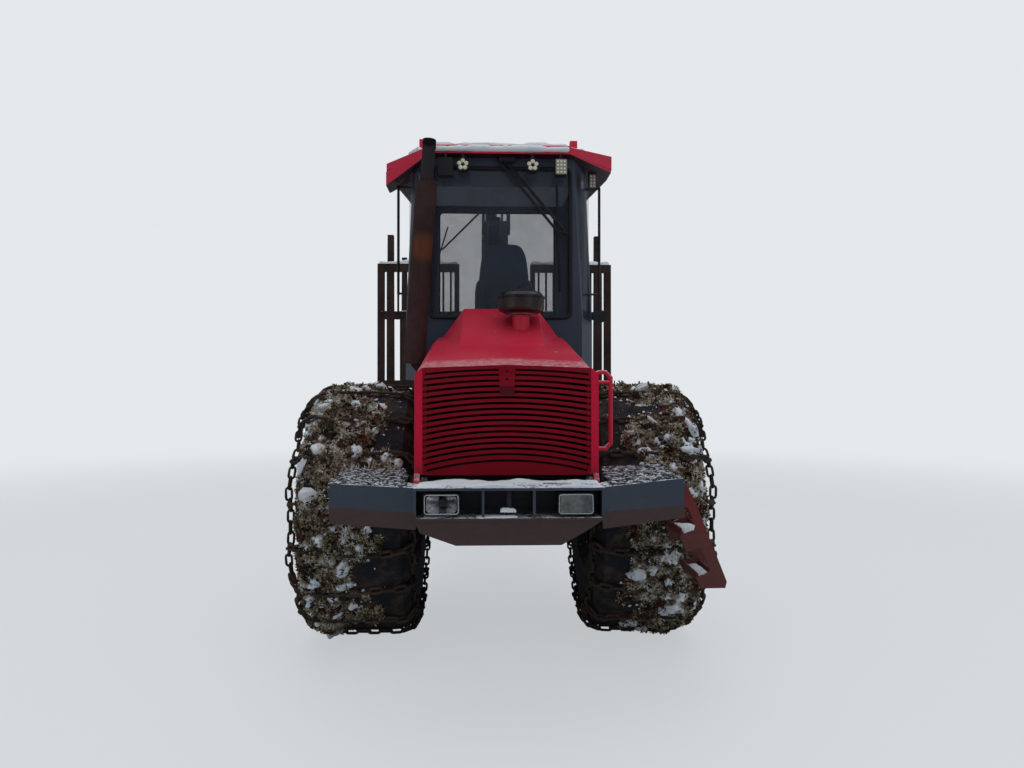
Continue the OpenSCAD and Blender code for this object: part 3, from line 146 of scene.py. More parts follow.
class Finish:
    """A procedural material, built up from layers over one Principled shader."""

    def __init__(self, name, roughness=0.5, metallic=0.0, shine=0.3):
        self.material = bpy.data.materials.new(name)
        self.material.use_nodes = True
        self.tree = self.material.node_tree
        self.shader = self.tree.nodes["Principled BSDF"]
        self.shader.inputs["Roughness"].default_value = roughness
        self.shader.inputs["Metallic"].default_value = metallic
        self.shader.inputs["Specular IOR Level"].default_value = shine
        self.place = self.node("ShaderNodeTexCoord", {}, {}, "Object")
        self.x, self.y, self.z = (self.part_of(self.place, axis) for axis in "XYZ")
        geometry = self.node("ShaderNodeNewGeometry", {}, {}, "Normal")
        self.up = self.part_of(geometry, "Z")

    def node(self, kind, settings, inputs, output=0):
        """Adds a node with its settings, then its socket values or links."""
        new = self.tree.nodes.new(kind)
        for key, value in settings.items():
            if key == "stops":
                ramp = new.color_ramp
                while len(ramp.elements) < len(value):
                    ramp.elements.new(0.5)
                for element, (position, colour) in zip(ramp.elements, value):
                    element.position = position
                    element.color = (*colour, 1)
            else:
                setattr(new, key, value)
        for key, value in inputs.items():
            if isinstance(value, Signal):
                self.tree.links.new(value.socket, new.inputs[key])
            elif value is not None:
                new.inputs[key].default_value = value
        return Signal(self, new.outputs[output])

    def part_of(self, vector, axis):
        return self.node("ShaderNodeSeparateXYZ", {}, {0: vector}, axis)

    def sum_of(self, operation, a, b):
        return self.node("ShaderNodeMath", {"operation": operation}, {0: a, 1: b})

    def moved(self, location, stretch=(1, 1, 1)):
        """The place, shifted and stretched before a pattern reads it."""
        return self.node("ShaderNodeMapping", {},
                         {"Vector": self.place, "Location": location, "Scale": stretch})

    def noise(self, scale, detail=4.0, rough=0.55, stretch=None, seed=0.0):
        """Cloudy pattern from 0 to 1, with about scale features to the metre."""
        where = self.place
        if stretch or seed:
            where = self.moved((seed, seed * 0.7, -seed), stretch or (1, 1, 1))
        return self.node("ShaderNodeTexNoise", {},
                         {"Vector": where, "Scale": scale, "Detail": detail, "Roughness": rough})

    def cells(self, scale, seed=0.0):
        """Distance to the nearest of scattered points."""
        where = self.moved((seed, seed, seed))
        return self.node("ShaderNodeTexVoronoi", {}, {"Vector": where, "Scale": scale})

    def picks(self, scale, where):
        """Two random numbers, each the same all over a small irregular patch."""
        colour = self.node("ShaderNodeTexVoronoi", {}, {"Vector": where, "Scale": scale}, "Color")
        return [self.node("ShaderNodeSeparateColor", {}, {0: colour}, channel) for channel in (0, 1)]

    def waves(self, scale, distortion, across="X"):
        return self.node("ShaderNodeTexWave", {"wave_type": "BANDS", "bands_direction": across},
                         {"Vector": self.place, "Scale": scale, "Distortion": distortion})

    def ramp(self, signal, stops):
        return self.node("ShaderNodeValToRGB", {"stops": stops}, {0: signal})

    def blend(self, mask, under, over):
        """Colour over laid on colour under where mask is 1."""
        under, over = (c if isinstance(c, Signal) else (*c, 1) for c in (under, over))
        return self.node("ShaderNodeMix", {"data_type": "RGBA"}, {0: mask, 6: under, 7: over}, 2)

    def level(self, mask, under, over):
        """Number over laid on number under where mask is 1."""
        return self.node("ShaderNodeMix", {"data_type": "FLOAT"}, {0: mask, 2: under, 3: over})

    def finish(self, colour, roughness=None, metallic=None, alpha=None, relief=None, depth=0.002):
        """Joins the layers to the shader and gives back the material."""
        layers = {"Base Color": colour, "Roughness": roughness, "Metallic": metallic, "Alpha": alpha}
        for key, value in layers.items():
            if isinstance(value, Signal):
                self.tree.links.new(value.socket, self.shader.inputs[key])
            elif value is not None:
                self.shader.inputs[key].default_value = (*value, 1) if key == "Base Color" else value
        if relief is not None:
            bump = self.node("ShaderNodeBump", {}, {"Height": relief, "Distance": depth, "Strength": 1.0})
            self.tree.links.new(bump.socket, self.shader.inputs["Normal"])
        return self.material


MUD = (0.04, 0.028, 0.022)
DRY_MUD = (0.12, 0.09, 0.075)
RUST = (0.09, 0.034, 0.02)
SNOW = (0.85, 0.9, 0.95)


def painted(name, colour, worn, roughness=0.4, mud_top=1.2, mud=0.5, rust=0.3, snow=0.0, dust=0.1,
            shine=0.3, foot=None, under=None, edges=None, recess=None, frost=None):
    """Old paint: faded patches, rust, mud splashed up from below and a little lying snow.

    foot is the height below which the paint has gone, with the dark and light colours left there;
    under is the colour of faces that look down, a painted shade; edges is a distance from the middle
    and the colour beyond it; recess is a box (half width, front, low, high) whose inside is painted
    nearly black as shade; frost is a stretch of length with a thin frost on it."""
    f = Finish(name, shine=shine)
    patches = f.noise(2.2, 6, 0.6)
    grain = f.noise(60, 5, 0.7)
    paint = f.blend(patches.between(0.35, 0.7), colour, worn)
    if edges:
        limit, beyond = edges
        paint = f.blend((f.x * f.x).between(limit ** 2 - 0.001, limit ** 2 + 0.001), paint, beyond)
    # Painted shade: faces that look down take the under colour.
    if under:
        paint = f.blend(1 - f.up.between(-0.9, -0.6), paint, under)
    # Painted shade: the inside of the recess box is laid nearly black.
    if recess:
        half, front, low, high = recess
        middle = 1 - (f.x * f.x).between(half * half - 0.002, half * half)
        hollow_shade = middle * f.y.between(front, front + 0.004) * f.z.within(low, high, 0.004, 0.003)
        paint = f.blend(hollow_shade * 0.85, paint, (0.006, 0.007, 0.01))
    scratch = f.noise(9, 8, 0.75, (1, 1, 3.5), 3.1)
    chips = scratch.between(0.68 - 0.1 * rust, 0.72 - 0.1 * rust) * rust
    paint = f.blend(chips, paint, f.blend(grain, RUST, (0.17, 0.065, 0.03)))
    if foot:
        height, dark, light = foot
        bare = 1 - (f.z + f.noise(22, 6, 0.75) * 0.03).between(height + 0.012, height + 0.02)
        paint = f.blend(bare, paint, f.blend(f.noise(16, 7, 0.7, (1, 1, 2)), dark, light))
    settled = (f.up.between(0.3, 0.95) * 0.6 + 0.25) * patches.between(0.3, 0.75) * dust
    paint = f.blend(settled, paint, DRY_MUD)
    splash = f.noise(14, 8, 0.7, None, 7.7)
    low = 1 - f.z.between(mud_top - 0.55, mud_top + 0.15)
    muddy = (splash + low * 0.55 - 0.25).between(0.42, 0.62) * mud
    paint = f.blend(muddy, paint, f.blend(grain, MUD, DRY_MUD))
    rough = f.level(muddy.most(chips), roughness, 0.85)
    rough = f.level(settled, rough, 0.8)
    if frost:
        stretch = f.y.within(*frost, 0.02, 0.14)
        rime = stretch * f.up.between(0.3, 0.6) * f.noise(38, 8, 0.8, None, 9.0).between(0.42, 0.66)
        paint = f.blend(rime * 0.75, paint, SNOW)
    if snow:
        flakes = f.noise(26, 8, 0.8, None, 1.3) + f.cells(55, 2.0) * 0.25
        lying = f.up.between(0.55, 0.95) * flakes.between(0.86 - 0.4 * snow, 0.96 - 0.36 * snow)
        paint = f.blend(lying, paint, SNOW)
        rough = f.level(lying, rough, 0.7)
    return f.finish(paint, rough, relief=grain * 0.3 + muddy * splash + chips * -0.6, depth=0.0015)


def rusty(name, dark, light, snow=0.0, purple=0.0, patch=None, soot_and_shade=None):
    """Steel rusted all over, darker in patches; patch is a band of height that has burnt orange.

    sooty is the height above which it is dark grey, with a broken black edge further up that is
    painted shade of the torn pipe's dark inside."""
    f = Finish(name, shine=0.2)
    clouds = f.noise(3.2, 8, 0.65)
    grain = f.noise(75, 6, 0.75)
    streaks = f.noise(10, 5, 0.6, (1, 1, 0.12), 5.0)
    colour = f.blend(clouds.between(0.35, 0.65), dark, light)
    colour = f.blend(grain.between(0.5, 0.75) * 0.6, colour, toned(dark, 0.5))
    colour = f.blend(streaks.between(0.5, 0.7) * 0.3, colour, toned(light, 1.4))
    if purple:
        colour = f.blend(clouds.between(0.5, 0.8) * purple, colour, (0.06, 0.03, 0.042))
    if patch:
        burnt = f.z.within(*patch, 0.08, 0.08) * streaks.between(0.35, 0.6) * 0.7
        colour = f.blend(burnt, colour, (0.16, 0.05, 0.022))
    if soot_and_shade:
        colour = f.blend(f.z.between(soot_and_shade - 0.05, soot_and_shade + 0.1) * 0.75, colour, (0.026, 0.026, 0.034))
        # Painted shade: near black above a broken line, standing for the dark inside of the torn tail pipe.
        jagged = f.z + f.noise(55, 2, 0.5, (1, 1, 0.3)) * 0.05
        colour = f.blend(jagged.between(soot_and_shade + 0.262, soot_and_shade + 0.265), colour, (0.002, 0.002, 0.003))
    if snow:
        flakes = f.noise(26, 8, 0.8, None, 1.3)
        lying = f.up.between(0.4, 0.9) * flakes.between(0.6 - 0.25 * snow, 0.68 - 0.2 * snow)
        colour = f.blend(lying, colour, SNOW)
    return f.finish(colour, f.level(grain, 0.7, 0.95), relief=grain + clouds * 0.5, depth=0.0012)


def bare_metal(name, colour, roughness):
    """Brushed steel with a little dried mud on it."""
    f = Finish(name, metallic=1.0)
    brushed = f.noise(40, 4, 0.6, (1, 1, 12))
    dirt = f.noise(7, 7, 0.7).between(0.5, 0.7) * 0.2
    shade = f.blend(dirt, f.blend(brushed, colour, toned(colour, 0.75)), DRY_MUD)
    return f.finish(shade, f.level(dirt, roughness, 0.8), 1 - dirt, relief=brushed, depth=0.0004)


def soft_black(name, colour, roughness=0.6, grain_scale=220, dust=0.25, bands=()):
    """Moulded plastic or rubbery trim with a fine grain and dust on its upper faces.

    bands are (low, high, colour) rings of another colour."""
    f = Finish(name)
    grain = f.cells(grain_scale)
    dusty = f.up.between(0.2, 0.95) * f.noise(9, 6, 0.65).between(0.35, 0.7) * dust
    shade = f.blend(f.noise(3), colour, toned(colour, 1.5))
    for low, high, tint in bands:
        ring = f.z.within(low, high, 0.004, 0.004) * f.noise(20, 6, 0.7).between(0.2, 0.6)
        shade = f.blend(ring, shade, tint)
    shade = f.blend(dusty, shade, DRY_MUD)
    return f.finish(shade, f.level(dusty, roughness, 0.9), relief=grain, depth=0.0006)


def tyre_finish(name, caked):
    """Black rubber under wet mud and brown leaves; caked is how much of it the mud covers."""
    f = Finish(name, shine=0.25)
    grain = f.noise(55, 8, 0.75)
    clods = f.noise(9, 8, 0.7)
    mud = f.blend(grain, MUD, (0.085, 0.06, 0.045))
    shade = f.blend(clods.between(0.6 - 0.3 * caked, 0.75 - 0.2 * caked), (0.013, 0.014, 0.018), mud)
    litter = f.noise(30, 6, 0.8, None, 4.0)
    shade = f.blend(litter.between(0.62, 0.68) * 0.7 * caked, shade, (0.11, 0.045, 0.028))
    flakes = (f.noise(24, 8, 0.8, None, 11.0) + f.up * 0.08).between(0.66, 0.7)
    shade = f.blend(flakes * 0.9, shade, SNOW)
    return f.finish(shade, f.level(clods, 0.75, 0.95), relief=clods + grain * 0.6, depth=0.012)


def glazing(name, tint):
    """Dark glass with a little dirt, darker at the windscreen's top and in the rear window."""
    f = Finish(name, roughness=0.04, shine=0.5)
    f.shader.inputs["IOR"].default_value = 1.5
    haze = f.noise(6, 7, 0.7).between(0.35, 0.9)
    spots = 1 - f.cells(60).between(0.06, 0.12)
    behind = f.y.between(FRONT_AXLE_Y + 1.3, FRONT_AXLE_Y + 1.4)
    band = f.z.between(3.02, 3.035) * (1 - f.y.between(FRONT_AXLE_Y + 0.2, FRONT_AXLE_Y + 0.3))
    alpha = 0.22 + haze * 0.08 + spots * 0.08 + behind * 0.08 + band * 0.45
    return f.finish(tint, f.level(haze, 0.05, 0.25), alpha=alpha)


def cloth(name, colour):
    """Woven cloth, faded in patches."""
    f = Finish(name)
    weave = f.waves(160, 1.0) * f.waves(160, 1.0, "Z")
    shade = f.blend(f.noise(5, 6, 0.6), colour, toned(colour, 1.8))
    return f.finish(shade, 0.92, relief=weave, depth=0.0008)


def two_toned(name, dark, light, scale, roughness):
    """Plain finish clouded with two colours."""
    f = Finish(name, roughness=roughness)
    return f.finish(f.blend(f.noise(scale), dark, light), roughness)


def frosted_metal():
    """Dark steel with frost on most of it."""
    f = Finish("frosted_mesh", roughness=0.7)
    frost = (f.noise(30, 7, 0.75) + f.up * 0.04).between(0.52, 0.61)
    return f.finish(f.blend(frost, (0.03, 0.032, 0.04), SNOW), 0.7)


def snow_finish():
    """Old snow, with bluer patches of painted shade that stand for its hollows."""
    f = Finish("lying_snow", roughness=0.6)
    f.shader.inputs["Subsurface Weight"].default_value = 0.15
    f.shader.inputs["Subsurface Radius"].default_value = (0.03, 0.04, 0.05)
    # Painted shade: a bluer, darker white in random patches.
    hollow_shade = f.noise(9, 5, 0.6).between(0.3, 0.7)
    white = f.blend(hollow_shade, (0.8, 0.87, 0.95), (0.93, 0.96, 0.99))
    return f.finish(white, 0.6, relief=f.noise(70, 6, 0.7), depth=0.006)


def litter_finish():
    """Mud, straw, brown leaves and snow in small irregular patches, over bare rubber further in."""
    f = Finish("moss_and_leaves", roughness=0.9, shine=0.15)
    warp = f.node("ShaderNodeTexNoise", {}, {"Vector": f.place, "Scale": 18.0, "Detail": 4.0}, "Color")
    pushed = f.node("ShaderNodeVectorMath", {"operation": "MULTIPLY_ADD"},
                    {0: warp, 1: (0.07, 0.07, 0.07), 2: f.place})
    pick, second = f.picks(24.0, pushed)
    bits = f.noise(75, 8, 0.8)
    colour = f.ramp(pick, [(0.0, (0.014, 0.012, 0.012)), (0.35, (0.03, 0.022, 0.018)),
                           (0.5, (0.07, 0.05, 0.03)), (0.62, (0.19, 0.155, 0.095)),
                           (0.72, (0.085, 0.026, 0.02)), (0.84, (0.15, 0.05, 0.032)),
                           (0.93, (0.24, 0.17, 0.13))])
    pale = f.blend(bits.between(0.52, 0.68), colour, (0.34, 0.29, 0.21))
    colour = f.blend(bits.between(0.3, 0.46), (0.01, 0.009, 0.009), pale)
    # Painted shade: large near-black patches stand for the holes in the cake.
    dark = f.noise(6, 6, 0.65, None, 6.0).between(0.47, 0.56)
    colour = f.blend(dark * 0.85, colour, f.blend(bits, (0.008, 0.009, 0.011), (0.04, 0.035, 0.032)))
    inner = 1 - (f.x * f.x + f.noise(4, 5, 0.6) * 0.3).between(0.68, 0.86)
    rubber = f.blend(bits.between(0.45, 0.7), (0.011, 0.012, 0.016), (0.04, 0.036, 0.034))
    colour = f.blend(inner, colour, rubber)
    drift = (f.noise(8, 7, 0.7, None, 2.2) + second * 0.1 + f.up * 0.05).between(0.61, 0.635)
    colour = f.blend(drift * bits.between(0.33, 0.42), colour, SNOW)
    return f.finish(colour, 0.93, relief=bits + pick * 0.7, depth=0.014)


def leaf_finish():
    """Dead leaves, each its own brown."""
    f = Finish("brown_leaves", roughness=0.7, shine=0.2)
    pick, _ = f.picks(20.0, f.place)
    colour = f.ramp(pick, [(0.0, (0.035, 0.014, 0.012)), (0.3, (0.1, 0.026, 0.02)),
                           (0.5, (0.16, 0.05, 0.03)), (0.7, (0.2, 0.09, 0.06)),
                           (0.85, (0.27, 0.2, 0.14)), (1.0, (0.12, 0.035, 0.028))])
    spotted = f.blend(f.noise(120) * 0.6, colour, (0.03, 0.02, 0.016))
    return f.finish(spotted, 0.7, relief=f.noise(150, 3), depth=0.001)


def moss_finish():
    """Dark wet moss with straw-coloured and frosted tips."""
    f = Finish("dry_moss", roughness=0.95, shine=0.1)
    pick = f.noise(9, 7, 0.8) * 0.75 + f.noise(60, 5, 0.8, None, 3.0) * 0.25
    colour = f.ramp(pick, [(0.4, (0.01, 0.009, 0.008)), (0.455, (0.045, 0.034, 0.022)),
                           (0.5, (0.26, 0.215, 0.135)), (0.545, (0.52, 0.46, 0.34)),
                           (0.59, (0.78, 0.82, 0.86))])
    return f.finish(colour, 0.95, relief=f.noise(200, 3), depth=0.001)


# Red paint; its green and blue are raised to hold part of the sky's sheen on it, so it is partly the paint's
# colour and partly painted reflection.
RED = (0.68, 0.014, 0.052)
FADED_RED = (0.72, 0.034, 0.075)
SHADED_RED = (0.03, 0.008, 0.014)

# Bumper's foot: height below which the paint has gone, and the dark and light colours left there
BARE = (1.052, (0.05, 0.028, 0.026), (0.085, 0.05, 0.045))

body_red = painted("faded_red_paint", RED, FADED_RED, 0.35, mud_top=1.25, mud=0.35, rust=0.25, snow=0.5,
                   under=SHADED_RED)
hood_red = painted("hood_red_paint", RED, FADED_RED, 0.33, mud_top=1.25, mud=0.2, rust=0.15, snow=0.2,
                   dust=0.08, frost=(FRONT_AXLE_Y - 1.46, FRONT_AXLE_Y - 1.1))
grille_red = painted("grille_red_paint", (0.24, 0.003, 0.012), (0.28, 0.005, 0.018), 0.55, mud_top=1.25,
                     mud=0.2, rust=0.1, dust=0.0, shine=0.12, edges=(0.418, RED))
ladder_red = painted("ladder_red_paint", (0.16, 0.008, 0.014), (0.2, 0.025, 0.025), 0.5, mud_top=1.1,
                     rust=0.9, snow=0.55)
rim_red = painted("rim_red_paint", (0.22, 0.01, 0.014), (0.25, 0.025, 0.03), 0.5, mud_top=3.0, mud=0.9,
                  rust=0.5)
tail_lens = painted("tail_lens_red", (0.3, 0.006, 0.008), (0.34, 0.01, 0.01), 0.15, mud_top=1.3, mud=0.4,
                    rust=0.0, shine=0.6)
crane_grey = painted("crane_grey_paint", (0.085, 0.095, 0.115), (0.11, 0.12, 0.14), 0.45, mud_top=0.0,
                     mud=0.0, rust=0.5, snow=0.7)
frame_navy = painted("frame_navy_paint", (0.03, 0.038, 0.055), (0.045, 0.05, 0.062), 0.5, mud_top=1.35,
                     mud=0.9, rust=0.5, snow=0.5)
cab_navy = painted("cab_navy_paint", (0.045, 0.058, 0.09), (0.058, 0.072, 0.105), mud_top=0.0, mud=0.0,
                   rust=0.12, snow=0.3)
# Bumper: the inside of the box in its front that holds the headlamps is painted nearly black as shade.
bumper_grey = painted("bumper_grey_paint", (0.045, 0.058, 0.085), (0.06, 0.07, 0.095), 0.5, mud_top=1.0,
                      mud=0.3, rust=0.7, snow=0.8, foot=BARE,
                      recess=(0.43, FRONT_AXLE_Y - 1.79, 1.034, 1.162))
black_paint = painted("black_paint", (0.014, 0.015, 0.018), (0.03, 0.031, 0.034), mud_top=0.0, mud=0.0,
                      rust=0.2)
gate_rust = rusty("gate_rust", (0.028, 0.018, 0.017), (0.06, 0.034, 0.028), snow=0.9)
# Exhaust: dark grey soot from 2.97 up, and near the torn top a broken near-black line of painted shade.
exhaust_rust = rusty("exhaust_rust", (0.035, 0.018, 0.018), (0.07, 0.032, 0.03), purple=0.7,
                     patch=(2.42, 2.66), soot_and_shade=2.97)
chain_rust = rusty("chain_rust", (0.03, 0.024, 0.022), (0.08, 0.055, 0.04))
engine_iron = rusty("engine_iron", (0.04, 0.04, 0.04), (0.09, 0.085, 0.08))
rod_chrome = bare_metal("rod_chrome", (0.7, 0.7, 0.72), 0.15)
lamp_steel = bare_metal("lamp_steel", (0.6, 0.61, 0.63), 0.25)
lamp_housing = soft_black("lamp_housing", (0.012, 0.013, 0.016))
trim_black = soft_black("trim_black", (0.012, 0.012, 0.014))
cleaner_black = soft_black("cleaner_black", (0.01, 0.011, 0.014), 0.22, 120, 0.12,
                           [(2.118, 2.2, (0.05, 0.03, 0.027)), (2.094, 2.104, (0.4, 0.36, 0.33))])
seat_cloth = cloth("seat_cloth", (0.13, 0.155, 0.205))
front_rubber = tyre_finish("front_tyre_mud", 0.5)
rear_rubber = tyre_finish("rear_tyre_mud", 0.8)
cab_glass = glazing("cab_glass_clear", (0.055, 0.075, 0.095))
snow_white = snow_finish()

SIDES = ("left", "right")
REAR_WHEELS = range(1, 5)
NODES_IN_FINISH = (
    (body_red, ["cab_roof"]),
    (hood_red, ["hood"]),
    (grille_red, ["grille"]),
    (ladder_red, ["ladder"]),
    (rim_red, [f"front_{side}_rim" for side in SIDES] + [f"rear_rim_{n}" for n in REAR_WHEELS]),
    (tail_lens, ["tail_lamps"]),
    (crane_grey, ["crane_base", "crane_column", "main_boom", "jib", "extension", "grapple_left",
                  "grapple_right"]),
    (frame_navy, ["front_frame", "front_axle", "centre_joint", "rear_frame", "side_boxes", "bogie_left",
                  "bogie_right"]),
    (cab_navy, ["cab_shell", "door"]),
    (bumper_grey, ["bumper"]),
    (black_paint, ["cab_fittings", "lift_barrel", "jib_barrel", "hanger", "rotator", "steer_left_barrel",
                   "steer_right_barrel"]),
    (gate_rust, ["load_gate", "bunks"]),
    (exhaust_rust, ["exhaust"]),
    (chain_rust, [f"front_{side}_chain" for side in SIDES]),
    (engine_iron, ["engine_block"]),
    (rod_chrome, ["lift_rod", "jib_rod", "steer_left_rod", "steer_right_rod"]),
    (lamp_housing, ["lamps"]),
    (trim_black, ["console"]),
    (cleaner_black, ["precleaner"]),
    (seat_cloth, ["seat"]),
    (front_rubber, [f"front_{side}_tyre" for side in SIDES]),
    (rear_rubber, [f"rear_tyre_{n}" for n in REAR_WHEELS]),
    (cab_glass, ["cab_glass", "door_glass"]),
)
for material, nodes in NODES_IN_FINISH:
    for node in nodes:
        for material_slot in bpy.data.objects[node].material_slots:
            material_slot.material = material


# Mesh tools

class Recipe:
    """A Geometry Nodes tree with named inputs, run once on a mesh and turned into a plain mesh."""

    KINDS = {int: "NodeSocketInt", float: "NodeSocketFloat"}

    def __init__(self, name, sizes):
        self.tree = bpy.data.node_groups.new(name, "GeometryNodeTree")
        face = self.tree.interface
        face.new_socket("Geometry", in_out="INPUT", socket_type="NodeSocketGeometry")
        for label, value in sizes.items():
            kind = self.KINDS.get(type(value), "NodeSocketObject")
            made = face.new_socket(label, in_out="INPUT", socket_type=kind)
            if value is not None:
                made.default_value = value
        face.new_socket("Geometry", in_out="OUTPUT", socket_type="NodeSocketGeometry")
        self.given = self.tree.nodes.new("NodeGroupInput")
        self.result = self.tree.nodes.new("NodeGroupOutput")
        self.sizes = sizes

    def size(self, label):
        return self.given.outputs[label]

    def node(self, kind, settings=None, output=0, **inputs):
        """Adds a node and gives one of its outputs; an input called _0 is the one numbered 0."""
        new = self.tree.nodes.new(kind)
        for key, value in (settings or {}).items():
            setattr(new, key, value)
        for key, value in inputs.items():
            socket = new.inputs[int(key[1:]) if key[0] == "_" else key.replace("_", " ")]
            if isinstance(value, bpy.types.NodeSocket):
                self.tree.links.new(value, socket)
            else:
                socket.default_value = value
        return new.outputs[output]

    def copies(self, points, shape, **more):
        """Instances of the shape input's object on points."""
        thing = self.node("GeometryNodeObjectInfo", output="Geometry", Object=self.size(shape))
        return self.node("GeometryNodeInstanceOnPoints", Points=points, Instance=thing, **more)

    def end(self, geometry, material):
        """Closes the tree with Realize Instances and Set Material."""
        real = self.node("GeometryNodeRealizeInstances", Geometry=geometry)
        dressed = self.node("GeometryNodeSetMaterial", Geometry=real, Material=material)
        self.tree.links.new(dressed, self.result.inputs[0])

    def run(self, name, mesh, **sizes):
        """The finished mesh object, made on the given mesh."""
        carrier = bpy.data.objects.new(name + "_carrier", mesh)
        bpy.context.collection.objects.link(carrier)
        modifier = carrier.modifiers.new("recipe", "NODES")
        modifier.node_group = self.tree
        for item in self.tree.interface.items_tree:
            if item.in_out == "INPUT" and item.name in self.sizes:
                modifier[item.identifier] = sizes.get(item.name, self.sizes[item.name])
        ready = carrier.evaluated_get(bpy.context.evaluated_depsgraph_get())
        plain = bpy.data.meshes.new_from_object(ready)
        bpy.data.objects.remove(carrier)
        return add_object(name, plain)


def add_object(name, mesh, material=None):
    """A mesh as an object at the origin."""
    mesh.name = name
    made = bpy.data.objects.new(name, mesh)
    bpy.context.collection.objects.link(made)
    if material:
        mesh.materials.clear()
        mesh.materials.append(material)
    return made


def hidden(mesh):
    """A small mesh that a recipe repeats, out of the scene itself."""
    return bpy.data.objects.new(mesh.name, mesh)


def mesh_of(vertices, faces=(), edges=()):
    """A mesh from its points and the faces or edges between them."""
    mesh = bpy.data.meshes.new("made")
    mesh.from_pydata([tuple(v) for v in vertices], list(edges), list(faces))
    return mesh


def mesh_from(build, outward=False):
    """The mesh of a bmesh that is ready, with its faces turned outward where asked."""
    if outward:
        bmesh.ops.recalc_face_normals(build, faces=build.faces)
    mesh = bpy.data.meshes.new("made")
    build.to_mesh(mesh)
    build.free()
    return mesh


def joined(name, meshes, material):
    """Several meshes as one object."""
    build = bmesh.new()
    for mesh in meshes:
        build.from_mesh(mesh)
    return add_object(name, mesh_from(build, outward=True), material)


def smooth(piece, angle):
    """Rounds the shading across every edge under the angle."""
    piece.data.shade_smooth()
    piece.data.set_sharp_from_angle(angle=math.radians(angle))


def fit(name, meshes, material, body, angle=ROUND):
    """Joins meshes as one piece that rides on a body, with its edges under the angle shaded round."""
    piece = joined(name, meshes, material)
    if angle:
        smooth(piece, angle)
    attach(piece, body)
    return piece


def quads(rows, columns, rows_meet=False, columns_meet=False, flip=False):
    """Faces between the neighbours of a grid whose vertices are numbered row by row."""
    faces = []
    for i in range(rows if rows_meet else rows - 1):
        for k in range(columns if columns_meet else columns - 1):
            this, other = i * columns, (i + 1) % rows * columns
            n = (k + 1) % columns
            a, b, c, d = this + k, this + n, other + n, other + k
            faces.append((a, d, c, b) if flip else (a, b, c, d))
    return faces


def tube_mesh(points, radius, sides=10, closed=False):
    """A round bar along a path of points, its ends closed; radius may be a list, one for each point."""
    points = [Vector(p) for p in points]
    count = len(points)
    vertices = []
    normal = None
    for i, point in enumerate(points):
        before = points[i - 1] if closed or i else points[0]
        after = points[(i + 1) % count] if closed or i < count - 1 else points[-1]
        along = (after - before).normalized()
        if normal is None:
            normal = along.orthogonal().normalized()
        normal = (normal - along * normal.dot(along)).normalized()
        across = along.cross(normal)
        width = radius[i] if isinstance(radius, list) else radius
        for turn in turns(sides):
            vertices.append(point + (normal * math.cos(turn) + across * math.sin(turn)) * width)
    faces = quads(count, sides, closed, True)
    if not closed:
        faces.append(tuple(reversed(range(sides))))
        faces.append(tuple((count - 1) * sides + k for k in range(sides)))
    return mesh_of(vertices, faces)


def turned_mesh(profile, steps, axis, centre):
    """A profile of (radius, height) pairs turned round an axis, closed at both ends."""
    vertices = []
    for turn in turns(steps):
        for radius, height in profile:
            u, v = radius * math.cos(turn), radius * math.sin(turn)
            point = {"X": (height, u, v), "Y": (v, height, u), "Z": (u, v, height)}[axis]
            vertices.append(Vector(point) + centre)
    build = bmesh.new()
    build.from_mesh(mesh_of(vertices, quads(steps, len(profile), True, False, flip=True)))
    bmesh.ops.remove_doubles(build, verts=build.verts, dist=1e-6)
    bmesh.ops.holes_fill(build, edges=build.edges)
    return mesh_from(build, outward=True)


def plug_mesh(centre, radius, front, back, steps=16):
    """Short round plug along the machine, from front to back of a centre."""
    return turned_mesh([(0, front), (radius, front), (radius, back), (0, back)], steps, "Y", centre)


def box_mesh(low, high):
    """A block between two corners."""
    corners = [(x, y, z) for x in (low[0], high[0]) for y in (low[1], high[1]) for z in (low[2], high[2])]
    faces = [(0, 1, 3, 2), (4, 6, 7, 5), (0, 4, 5, 1), (2, 3, 7, 6), (0, 2, 6, 4), (1, 5, 7, 3)]
    return mesh_of(corners, faces)


def inside(outline, x, y):
    """Whether a point lies in a plan outline."""
    hits = False
    for (x0, y0), (x1, y1) in zip(outline, outline[1:] + outline[:1]):
        if (y0 > y) != (y1 > y) and x < (x1 - x0) * (y - y0) / (y1 - y0) + x0:
            hits = not hits
    return hits


# Camera, light and floor

BACKDROP = (0.78, 0.81, 0.84)
FLOOR_HALF = 150


def place_camera():
    """The camera stands in front of the front axle, a little to the right of the middle."""
    lens = bpy.data.cameras.new("camera")
    lens.sensor_width = SENSOR_MM
    lens.lens = FOCAL_MM
    camera = bpy.data.objects.new("camera", lens)
    bpy.context.collection.objects.link(camera)
    camera.location = at(CAMERA_X, -CAMERA_AHEAD, EYE_HEIGHT)
    camera.rotation_euler = (math.radians(TILT), 0, math.radians(PAN))
    bpy.context.scene.camera = camera


def soft_lamp(name, location, target, size, power):
    """A wide lamp at a location, turned to its target."""
    light = bpy.data.lights.new(name, "AREA")
    light.shape = "RECTANGLE"
    light.size, light.size_y = size
    light.energy = power
    lamp = bpy.data.objects.new(name, light)
    bpy.context.collection.objects.link(lamp)
    lamp.location = location
    lamp.rotation_euler = (Vector(target) - Vector(location)).to_track_quat("-Z", "Y").to_euler()


